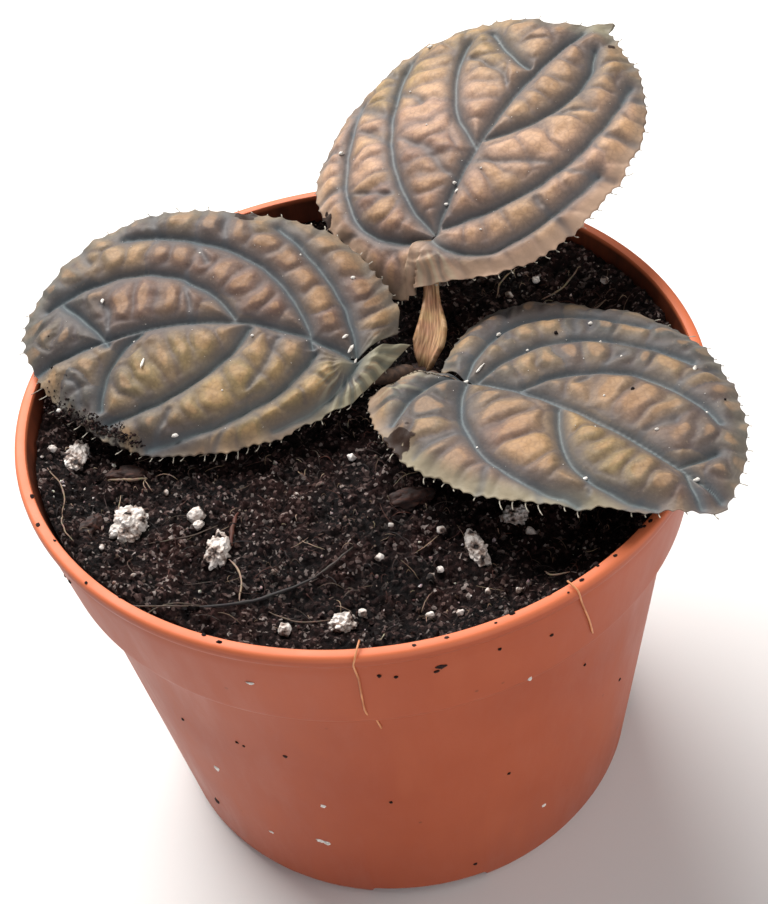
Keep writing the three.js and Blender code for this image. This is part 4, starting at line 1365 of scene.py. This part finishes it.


# %% [markdown]
# ## The leaf's skin
# The upper face is a living leaf: soft, slightly waxy, with a velvet of tiny hairs. A thin
# teal line runs in each vein, and the cushions go from tan to gold or pink. Beside the veins,
# cross veins and creases lies darker grey and slate, partly the leaf's own slate and partly
# painted shade in the grooves; the cushion tops get a painted highlight, and the pleats of a
# basal lobe a painted highlight on each ridge and painted shade in each trough. The underside
# is paler, dusty and dull. Both are written as a list of thin coats of colour, from the lowest
# to the last, the way a watercolour is built up: a coat follows one mask or pattern, and grows
# from one strength to another while that goes from start to end.

# %% Coats of colour
LEAF_SKINS = {
    "labisia_leaf_upper_face_living": {
        "first": "#685c50", "roughness": 0.58, "relief": 0.07, "coats": [
            # follows, start, end, strength at start, at end, colour
            ("warm", 0, 1, 0, 1, "#ba967e"),
            ("gold", 0, 1, 0, 0.85, "#8d7850"),
            ("pink", 0, 1, 0, 0.75, "#765849"),
            ("slate", 0, 1, 0, 0.75, "#4b4d4b"),
            ("cell", 0.55, 1, 0, 0.38, "#b89465"),
            ("cell", 0.4, 0, 0, 0.28, "#6c4f49"),
            ("cloud", 0.45, 0.72, 0, 0.35, "#5c4a42"),
            # Painted shade on the sides of the cushions, by the veins and at the nips.
            ("crest_light_and_shade", 0, 0.85, 0.54, 0, "#554d4b"),
            # Painted highlight on the tops of the cushions.
            ("crest_light_and_shade", 0.7, 1, 0, 0.25, "#cfa070"),
            ("net", 0, 0.22, 0.17, 0, "#40342f"),
            ("speck", 0.56, 0.8, 0, 0.32, "#c2ab8c"),
            ("speck", 0.44, 0.25, 0, 0.35, "#3a3031"),
            # Painted shade in the nips and fine cross creases.
            ("crease", 0.1, 1, 0, 0.42, "#443a3d"),
            ("rim", 0, 1, 0, 0.4, "#66635a"),
            ("pale", 0, 1, 0, 0.8, "#c0a088"),
            ("lime", 0, 1, 0, 0.6, "#8e8a72"),
            # Painted highlight on each pleat's ridge and painted shade in each trough.
            ("pleat", 0.01, 0.12, 0, 0.5, "#bdb699"),
            ("pleat", -0.01, -0.12, 0, 0.5, "#4d5753"),
            # Grey and slate by the cross veins and veins: partly the leaf's own slate, partly painted
            # shade in the grooves. The last vein coat is the thin teal line of the vein itself.
            ("cross", 0.05, 0.9, 0.45, 0, "#56595e"),
            ("vein", 0.1, 1.7, 0.44, 0, "#55595d"),
            ("vein", 0.05, 0.6, 0.36, 0, "#4d5f69"),
            ("vein", 0, 0.1, 0.2, 0, "#7d9294"),
            ("peat", 0.35, 0.55, 0, 0.9, "#1b1210"),
            ("brown", 0.44, 0.56, 0, 1, "#271203"),
        ],
    },
    "labisia_leaf_underside_dusty": {
        "first": "#6f6355", "roughness": 0.75, "relief": 0.15, "coats": [
            ("cloud", 0.3, 0.7, 0, 1, "#857e68"),
            ("net", 0, 0.2, 0.45, 0, "#978e78"),
            ("crease", 0, 1, 0, 0.3, "#94896f"),
            ("vein", 0.1, 0.9, 0.8, 0, "#9a7e6b"),
            ("rim", 0, 1, 0, 0.4, "#857265"),
            ("speck", 0.5, 0.8, 0, 0.3, "#564a40"),
        ],
    },
}

# %% Leaf materials
leaf_skins = []
for name, skin in LEAF_SKINS.items():
    made, tree, place = new_material(name)
    cloud = add(
        tree, "TexNoise", {"Vector": place, "Scale": per_mm(2.2), "Detail": 5, "Roughness": 0.6},
    )
    net = add(
        tree, "TexVoronoi", {"Vector": place, "Scale": per_mm(0.85)}, feature="DISTANCE_TO_EDGE",
    )
    speck = add(
        tree, "TexNoise", {"Vector": place, "Scale": per_mm(0.45), "Detail": 4, "Roughness": 0.7},
    )
    guides = {"cloud": cloud, "net": net.outputs["Distance"], "speck": speck}
    colour = linear(skin["first"])
    for follows, start, end, low, high, tint in skin["coats"]:
        if follows not in guides:
            guides[follows] = add(tree, "Attribute", attribute_name=follows).outputs["Fac"]
        share = add(
            tree, "MapRange",
            {"Value": guides[follows], "From Min": start, "From Max": end, "To Min": low,
             "To Max": high},
            interpolation_type="SMOOTHSTEP",
        )
        coat = add(tree, "Mix", {0: share, 6: colour, 7: linear(tint)}, data_type="RGBA")
        colour = coat.outputs[2]
    grain = add(
        tree, "Math", {0: net.outputs["Distance"], 1: 0.5, 2: speck}, operation="MULTIPLY_ADD",
    )
    bump = add(tree, "Bump", {"Strength": 0.5, "Distance": skin["relief"] * MM, "Height": grain})
    tissue = add(
        tree, "BsdfPrincipled",
        {
            "Base Color": colour, "Roughness": skin["roughness"], "IOR": 1.4,
            "Specular IOR Level": 0.35, "Sheen Weight": 0.03, "Sheen Roughness": 0.45,
            "Sheen Tint": linear("#dfe6ee"), "Normal": bump,
        },
    )
    add(tree, "OutputMaterial", {"Surface": tissue})
    leaf_skins.append(made)
    print(name, "has", len(tree.nodes), "nodes")

# %% [markdown]
# ## Grow the three blades
# Each blade stands for its CAD leaf. Solidify grows the thickness downwards, so the upper
# face stays where it was shaped, and gives the underside its own material. A vertex group
# lets the blade thin out to its edge, as a real leaf does, so that no thick wall shows there.

# %% Three blades
for name, leaf in LEAVES.items():
    blade = finish_piece(
        blade_mesh(name, leaf), f"leaf_blade_{name}", leaf_skins, [f"leaf_{name}"],
    )
    thick = blade.modifiers.new("leaf_thickness", "SOLIDIFY")
    thick.thickness = BLADE_THICKNESS * MM
    thick.vertex_group = blade.vertex_groups.new(name="thinner_at_the_margin").name
    thick.offset = -1
    thick.material_offset = 1
    thick.material_offset_rim = 0

# %% [markdown]
# ## Bristles
# Every tooth ends in a short pale bristle with a sticky knob, and it hooks towards the leaf's
# tip. Seen against the dark compost they draw the margin. There are up to eighty on a leaf,
# so each is a tube of a few dozen faces. They are pale and faintly glossy, so each one
# catches a line of light.

# %% Bristles on the teeth
BRISTLE_LENGTH = 0.95
BRISTLE_RADIUS = 0.075
BRISTLE_SWELLS = [1.3, 1.1, 0.85, 0.75, 1.15, 0.9]  # a thick root, a thin neck and a knob
DRY_REACH = 43  # distance from the pot's axis
NEAR_STALK = 4.5  # no bristles so close to the stalk
MISSING_SHARE = 0.18

bristle_skin = mottled(
    "labisia_bristle_pale_gland_tipped", 1.5, 2, [(0.35, "#857f71"), (0.65, "#c4bcac")], 0.5
)

for name, leaf in LEAVES.items():
    rim, outward = toothed_margin(leaf)
    draw = random.Random(len(name))
    bm = bmesh.new()
    for tooth in range(TEETH):
        k = tooth * PER_TOOTH + PER_TOOTH // 2
        if math.hypot(*rim[k]) < NEAR_STALK or draw.random() < MISSING_SHARE:
            continue
        length = BRISTLE_LENGTH * draw.uniform(0.45, 1.15)
        rise, hook = draw.uniform(-0.3, 0.4), draw.uniform(0.1, 0.9)
        height, across, _ = surface_height(leaf, *rim[k])
        root = blade_point(leaf, rim[k][0], across, height)
        if math.hypot(root.x, root.y) > DRY_REACH:
            length *= 0.55  # the far margins dry first, and their bristles shrink
        path = []
        for step in range(len(BRISTLE_SWELLS)):
            share = step / (len(BRISTLE_SWELLS) - 1)
            ds, dt = outward[k] * (length * share - 0.2)
            ds += hook * length * share**2
            lift = height - 0.25 + rise * length * share**1.5
            path.append(blade_point(leaf, rim[k][0] + ds, across + dt, lift))
        tube(bm, path, [BRISTLE_RADIUS * swell for swell in BRISTLE_SWELLS], sides=4)
    finish_piece(bm, f"leaf_bristles_{name}", [bristle_skin], [f"leaf_{name}"])

# %% [markdown]
# ## Stalks and crown
# The plant stands on a short brown crown. The back leaf's stalk is dry: a thin tan wing, wide
# in the middle like a folded husk, with streaks along it. The other two stalks are short and
# round, alive and dulled by fine down, and hide below their leaves. All three start on the
# crown and end under a midrib.

# %% Dry streaked tissue
husk_skin, tree, _ = new_material("dried_leaf_stalk_streaked")
along = add(tree, "Attribute", attribute_name="husk").outputs["Vector"]
lines = add(tree, "Mapping", {"Vector": along, "Scale": (4.5, 0.35, 1)})
streak = add(tree, "TexNoise", {"Vector": lines, "Scale": 1.0, "Detail": 5})
broad = add(tree, "TexNoise", {"Vector": along, "Scale": 0.4, "Detail": 3})
streak_tone = add(
    tree, "ValToRGB", {"Fac": streak}, stops=[(0.32, "#87603f"), (0.5, "#c0926a"), (0.66, "#e4bb92")],
)
height = add(tree, "SeparateXYZ", {"Vector": along}).outputs["Y"]
rotting = add(
    tree, "MapRange",
    {"Value": height, "From Min": 0.0, "From Max": 2.5, "To Min": 0.85, "To Max": 0.0},
)
aged = add(tree, "Mix", {0: rotting, 6: streak_tone, 7: linear("#453023")}, data_type="RGBA")
blotched = add(
    tree, "Mix", {0: 0.25, 6: aged.outputs[2], 7: broad.outputs["Color"]}, data_type="RGBA",
    blend_type="OVERLAY",
)
bump = add(tree, "Bump", {"Strength": 0.7, "Distance": 0.2 * MM, "Height": streak})
husk = add(
    tree, "BsdfPrincipled", {"Base Color": blotched.outputs[2], "Roughness": 0.6, "Normal": bump},
)
add(tree, "OutputMaterial", {"Surface": husk})

# %% Stalk paths
CROWN = (8.4, 3.2)
CROWN_TOP = 64.8
STALK_ROWS = 40
ROUND_ROWS = 24


def under_midrib(leaf, s, below):
    return blade_point(leaf, s, 0, -VEIN_SINK - 0.8 - below)


def foot(x, y, z):
    return Vector((x, y, CROWN_TOP + 0.3 + z))


def path_through(stops, count):
    """A smooth path through a few stops, as evenly read points."""
    stops = [2 * stops[0] - stops[1], *stops, 2 * stops[-1] - stops[-2]]
    spans = len(stops) - 3
    path = []
    for k in range(count + 1):
        place = min(k / count * spans, spans - 1e-6)
        slot = int(place)
        a, b, c, d = (np.array(p) for p in stops[slot : slot + 4])
        u = place - slot
        bent = 2 * b + (c - a) * u + (2 * a - 5 * b + 4 * c - d) * u**2
        path.append(Vector((bent + (3 * b - a - 3 * c + d) * u**3) / 2))
    return path


def width_at(widths, share):
    """The width at a share of the length, read between evenly spaced values."""
    place = share * (len(widths) - 1)
    slot = min(int(place), len(widths) - 2)
    return lerp(widths[slot], widths[slot + 1], place - slot)


# %% [markdown]
# ## The winged stalk
# The husk is a strip, not a rod, so it is a grid: twelve cells across and forty along. Its two
# wings fold up from the middle like a gutter, wave a little, and Solidify gives it the
# thickness of dry leaf tissue.

# %% Winged stalk of the back leaf
back = LEAVES["back"]
husk_path = path_through(
    [
        foot(8.9, 4.4, -0.8),
        foot(9.5, 5.3, 1),
        foot(10.9, 8.2, 3.4),
        under_midrib(back, -3.2, 1.7),
        under_midrib(back, 0.4, 2.2),
        under_midrib(back, 3.2, 1.4),
        under_midrib(back, 5.6, 0.4),
    ],
    STALK_ROWS,
)
HUSK_WIDTHS = [1.3, 1.5, 2.5, 3.7, 3.2, 1.6, 1.0, 0.9, 0.8, 0.7, 0.7, 0.7, 0.7]
HUSK_CELLS = 12
HUSK_THICKNESS = 0.7
bm = bmesh.new()
bmesh.ops.create_grid(bm, x_segments=HUSK_CELLS, y_segments=STALK_ROWS, size=1)
husk_layer = bm.verts.layers.float_vector.new("husk")
verts = list(bm.verts)
travel = 0.0
for row, spot in enumerate(husk_path):
    before, after = husk_path[max(row - 1, 0)], husk_path[min(row + 1, STALK_ROWS)]
    heading = (after - before).normalized()
    side = heading.cross(Vector((0, 0, 1))).normalized()
    over = side.cross(heading)
    travel += (spot - before).length
    half = width_at(HUSK_WIDTHS, row / STALK_ROWS) / 2
    for k in range(HUSK_CELLS + 1):
        across = 2 * k / HUSK_CELLS - 1
        wave = 0.3 * noise.noise((across * 1.5, travel / 3, 4)) * abs(across)
        fold = 0.5 * half * across**2 + wave + 0.08 * math.cos(across * 14)
        v = verts[row * (HUSK_CELLS + 1) + k]
        v.co = spot + side * (half * across) + over * (fold + 0.1)
        v[husk_layer] = (across * half, travel, 0)
husk_piece = finish_piece(bm, "stalk_back_husk", [husk_skin], ["leaf_back"])
thick = husk_piece.modifiers.new("husk_thickness", "SOLIDIFY")
thick.thickness = HUSK_THICKNESS * MM
thick.offset = -1
print(f"husk length {travel:.1f} mm")

# %% Round stalks of the other leaves
ROUND_WIDTHS = [1.0, 1.15, 1.05, 0.95, 0.8]
ROUND_STALKS = {
    # two places on the crown, then distance along and below the midrib
    "left": [(6.9, 3.3, -0.8), (6.6, 3.3, 0.5), (-3, 1.6)],
    "right": [(9.7, 1.8, -0.8), (9.9, 1.4, 0.4), (-4, 2.3)],
}
stalk_skin = mottled(
    "labisia_stalk_living_downy", 0.7, 4, [(0.35, "#33241d"), (0.65, "#5d4536")], 0.75
)
for name, (low, up, below) in ROUND_STALKS.items():
    leaf = LEAVES[name]
    path = path_through(
        [foot(*low), foot(*up), under_midrib(leaf, *below), under_midrib(leaf, 0.5, 1.3),
         under_midrib(leaf, 3, 0.3)],
        ROUND_ROWS,
    )
    bm = bmesh.new()
    widths = [width_at(ROUND_WIDTHS, k / ROUND_ROWS) for k in range(ROUND_ROWS + 1)]
    widths = [w * (1 + 0.08 * noise.noise((k * 0.8, 3, 1))) for k, w in enumerate(widths)]
    tube(bm, path, widths, sides=14, flat=0.85)
    finish_piece(bm, f"stalk_{name}", [stalk_skin], [f"leaf_{name}"])

# %% Crown
CROWN_PROFILE = [
    (0, 52), (1, 52.4), (1.7, 55), (2.3, 57.6), (2.8, 60), (3.1, 62), (2.95, 62.6),
    (3.15, 63.1), (2.9, 63.5), (3.0, 64), (2.7, 64.4), (2.3, 64.8), (1.4, 65), (0, 64.9),
]
bm = spin_profile(CROWN_PROFILE, 48, CROWN)
for v in bm.verts:
    out = Vector((v.co.x - CROWN[0], v.co.y - CROWN[1], 0))
    v.co += out * (0.16 * noise.noise(v.co * 0.9) + 0.06 * noise.noise(v.co * 3))
finish_piece(bm, "plant_crown", [bark_fibre], ["crown"])

# %% [markdown]
# ## Specks and flecks
# A plant from the nursery is never spotless. White flecks of dry fertiliser and perlite dust
# lie on the blades, chalky and without gloss. Peat clings to the tip that touched the compost,
# and dark crumbs stick to the pot. Two hair-thin dry roots hang over its lip, amber and a
# little waxy. All are small, so each is a tiny lump or a thin tube, set on the surface that
# carries it.

# %% White crust
crust = mottled("dried_fertiliser_crust_white", 0.5, 3, [(0.3, "#b5ada3"), (0.6, "#e9e4dd")], 0.8)

# %% Flecks on the blades
FLECKS = {
    # s, t, half-length, half-width, turn in degrees
    "left": [
        (2.0, -3.3, 0.55, 0.2, 40), (1.1, -1.8, 0.8, 0.22, 60), (0.3, -0.4, 0.5, 0.16, 70),
        (34.5, -9.6, 0.5, 0.24, 80), (27.9, 1.5, 0.95, 0.17, 75), (23.2, 11.6, 0.45, 0.3, 10),
        (39.9, 6.1, 0.32, 0.3, 0), (2.0, -12.6, 0.32, 0.26, 0), (13.9, -2.4, 0.2, 0.2, 0),
        (22, -16, 0.16, 0.14, 0), (9, -16, 0.14, 0.14, 0), (30, -3, 0.15, 0.13, 0),
        (17, 6, 0.14, 0.12, 0), (36, -3, 0.14, 0.13, 0),
    ],
    "back": [
        (10.2, 23.3, 0.4, 0.3, 30), (31.6, 19.6, 0.45, 0.25, 20), (8.7, 1.4, 0.3, 0.26, 0),
        (7.5, 0.2, 0.5, 0.16, 50), (5.4, 1.0, 0.3, 0.2, 0), (11.5, -1.5, 0.16, 0.14, 0),
        (3, -6, 0.18, 0.12, 0), (16, 10, 0.14, 0.14, 0), (22, 17, 0.14, 0.12, 0),
    ],
    "right": [
        (-2.4, 10.8, 0.4, 0.25, 45), (0.0, 0.2, 0.5, 0.2, 10), (0.7, 2.4, 1.1, 0.16, 50),
        (7.8, 17.3, 0.32, 0.28, 0), (22.7, -7.9, 0.5, 0.22, 20), (33.6, -1.3, 0.6, 0.25, 10),
        (24.1, 15.3, 0.5, 0.24, 60), (26.1, 2.4, 0.25, 0.22, 0), (11, 14.5, 0.18, 0.16, 0),
        (18, 4, 0.16, 0.14, 0), (15.5, 12.2, 0.16, 0.14, 0), (3.4, 9, 0.2, 0.18, 0),
        (29, 9.4, 0.16, 0.14, 0), (8.5, -9.6, 0.16, 0.14, 0),
    ],
}
DARK_SPECKS = [(5.1, 13.3, 0.3), (20.1, 7.1, 0.25), (30, 12, 0.2)]
DUST_TRIES = 130
NEAR_VEIN = 2.2
PEAT_TRIES = 900


def on_leaf(leaf, s, t):
    """Whether a flat place is close to a vein, and nearer to it than to the margin."""
    vein = leaf["vein_tree"].find((s, t, 0))[2]
    return vein < NEAR_VEIN and leaf["rim_tree"].find((s, t, 0))[2] > vein


def on_blade(leaf, s, t, above):
    """The real place of a flat one, that far above the upper face."""
    height, across, _ = surface_height(leaf, s, t)
    return blade_point(leaf, s, across, height + above)


flecks = bmesh.new()
for name, marks in FLECKS.items():
    leaf = LEAVES[name]
    for k, (s, t, a, b, turn) in enumerate(marks):
        spot = on_blade(leaf, s, t, b * 0.5)
        lump(flecks, spot, (a, b, b * 0.8), math.radians(turn), 2, 0.4, k)
dust = random.Random(31)
for leaf in LEAVES.values():
    for k in range(DUST_TRIES):
        s, t = dust.uniform(-10, 45), dust.uniform(-24, 27)
        r = 0.045 + 0.05 * dust.random() ** 3
        if on_leaf(leaf, s, t):
            lump(flecks, on_blade(leaf, s, t, r * 0.3), (r, r, r * 0.6), k, 1, 0.4, k)
finish_piece(flecks, "flecks_on_leaves", [crust])

bits = bmesh.new()
tone_layer = bits.verts.layers.float.new("tone")
draw = random.Random(5)
for k, (s, t, r) in enumerate(DARK_SPECKS):
    spot = on_blade(LEAVES["right"], s, t, r * 0.4)
    painted(lump(bits, spot, (r, r, r * 0.7), 0, 1, 0.4, k), tone_layer, 0.2)
for k in range(PEAT_TRIES):
    share = draw.random() ** 0.8
    s = 42 - 14 * share + draw.uniform(-1, 1)
    t = 5.6 + 7.2 * share - 0.9 * draw.gauss(0, 1) ** 2
    reach = 2.6 + 3 * noise.noise((s / 2, t / 2, 1))
    if LEAVES["left"]["rim_tree"].find((s, t, 0))[2] > reach:
        continue
    r = 0.06 + 0.2 * draw.random() ** 3
    spot = on_blade(LEAVES["left"], s, t, r * 0.1)
    made = lump(bits, spot, (r, r * 0.8, r * 0.7), draw.uniform(0, 3), 1, 0.5, k)
    painted(made, tone_layer, draw.random() * 0.9)
finish_piece(bits, "peat_on_leaves", [loose_peat], smooth=False)

# %% Marks on the pot
POT_SPECKS = [
    # degrees round the pot, height, half-height, half-width, tone
    (-142.7, 11.8, 0.85, 0.55, 0.35), (-137.5, 37.6, 0.3, 0.3, 0.1), (-123.4, 39.7, 0.28, 0.3, 0.2),
    (-122, 39.3, 0.3, 0.25, 0.1), (-113.5, 39.7, 0.3, 0.35, 0.6), (-93, 63.3, 0.25, 0.3, 0.2),
    (-90.6, 62.6, 0.22, 0.3, 0.2), (-95.3, 29, 0.3, 0.3, 0.1), (-83.9, 63, 0.35, 0.8, 0.5),
    (-84.6, 62.2, 0.25, 0.4, 0.3), (-74.9, 63, 0.22, 0.25, 0.1), (-66, 60.9, 0.25, 0.3, 0.2),
    (-71.3, 28.8, 0.3, 0.3, 0.1), (-79.1, 5.8, 0.3, 0.35, 0.2), (-150, 62, 0.4, 0.3, 0.3),
    (-158, 57, 0.3, 0.3, 0.2), (-40, 30, 0.3, 0.3, 0.2), (-55, 45, 0.25, 0.25, 0.1),
    (40, 25, 0.35, 0.3, 0.3), (95, 44, 0.4, 0.3, 0.2), (140, 20, 0.35, 0.35, 0.4),
    (170, 48, 0.3, 0.3, 0.2), (70, 60, 0.3, 0.4, 0.3), (10, 12, 0.4, 0.3, 0.3),
]
CRUMBS_ON_LIP = 26
POT_PALE = [
    # degrees round the pot, height, half-height, half-width
    (-113, 60.5, 0.25, 0.5), (-133.8, 27.1, 0.5, 0.5), (-125.1, 13.5, 0.3, 0.35),
    (-112.2, 15.9, 0.4, 0.95), (-111, 15.4, 0.3, 0.5), (-109.2, 27.1, 0.35, 0.4),
    (-61.7, 13.8, 0.35, 0.35), (-69.3, 53.2, 0.3, 0.3), (60, 30, 0.3, 0.4), (150, 35, 0.3, 0.3),
]


def on_pot(turn, z, out):
    """A place that far outside the wall, from degrees round the pot and its height."""
    r = outer_radius(z) + out
    return Vector((r * math.cos(math.radians(turn)), r * math.sin(math.radians(turn)), z))


bm = bmesh.new()
tone_layer = bm.verts.layers.float.new("tone")
for k, (turn, z, tall, wide, tone) in enumerate(POT_SPECKS):
    sizes = (0.15, wide * 0.85, tall * 0.85)
    made = lump(bm, on_pot(turn, z, 0), sizes, math.radians(turn), 2, 0.6, k)
    painted(made, tone_layer, 0.4 + tone * 0.5)
for k in range(CRUMBS_ON_LIP):
    turn, reach = draw.uniform(-170, -20), 43.3 + draw.random() * 1.3
    r = draw.uniform(0.12, 0.35)
    spot = Matrix.Rotation(math.radians(turn), 3, "Z") @ Vector((reach, 0, POT_HEIGHT))
    made = lump(bm, spot, (r, r * 1.4, r * 0.6), math.radians(turn), 1, 0.5, k)
    painted(made, tone_layer, draw.random() * 0.8)
finish_piece(bm, "peat_on_pot", [loose_peat], smooth=False)

bm = bmesh.new()
for k, (turn, z, tall, wide) in enumerate(POT_PALE):
    lump(bm, on_pot(turn, z, 0), (0.14, wide, tall), math.radians(turn), 2, 0.6, 80 + k)
finish_piece(bm, "dust_on_pot", [crust])

# %% Root hairs over the lip
HAIR_ROWS = 40
HAIR_RADIUS = 0.13
ROOT_HAIRS = [
    # degrees round the pot, height, distance out from its wall
    [(-95.2, 68, -2.2), (-95.6, 67.9, -1), (-96, 67.4, 0.15), (-96.3, 66, 0.15),
     (-96, 63, 0.12), (-96.1, 59.3, 0.12), (-96, 55.2, 0.12), (-95.2, 51.5, 0.25),
     (-94.4, 48.5, 0.1)],
    [(-62.4, 68, -1.6), (-62.2, 67.8, -0.4), (-62, 67.2, 0.15), (-60.8, 64, 0.12),
     (-58.9, 59.7, 0.12), (-57.3, 55.5, 0.12)],
]
root_skin = mottled("dried_root_hair_amber", 4, 2, [(0.35, "#b0683c"), (0.65, "#e3a06e")], 0.45)
bm = bmesh.new()
for hair_path in ROOT_HAIRS:
    path = path_through([on_pot(*stop) for stop in hair_path], HAIR_ROWS)
    tube(bm, path, [HAIR_RADIUS] * (HAIR_ROWS + 1), sides=5, up=Vector((0.3, -0.2, 0.1)))
finish_piece(bm, "root_hairs", [root_skin])

# %% [markdown]
# ## The size at the end
# The finished model has to keep the CAD part's size. Both boxes are gathered, and how far
# each corner moved is printed.

# %% Sizes and the last line
bpy.context.view_layer.update()
shown_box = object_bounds()
sizes = {
    "cad": [list(corner) for corner in cad_box], "visual": [list(corner) for corner in shown_box],
}
for side, corner in enumerate(("lowest", "highest")):
    grown = [round((b - a) / MM, 2) for a, b in zip(cad_box[side], shown_box[side])]
    print(f"{corner} corner moved by {grown} mm")
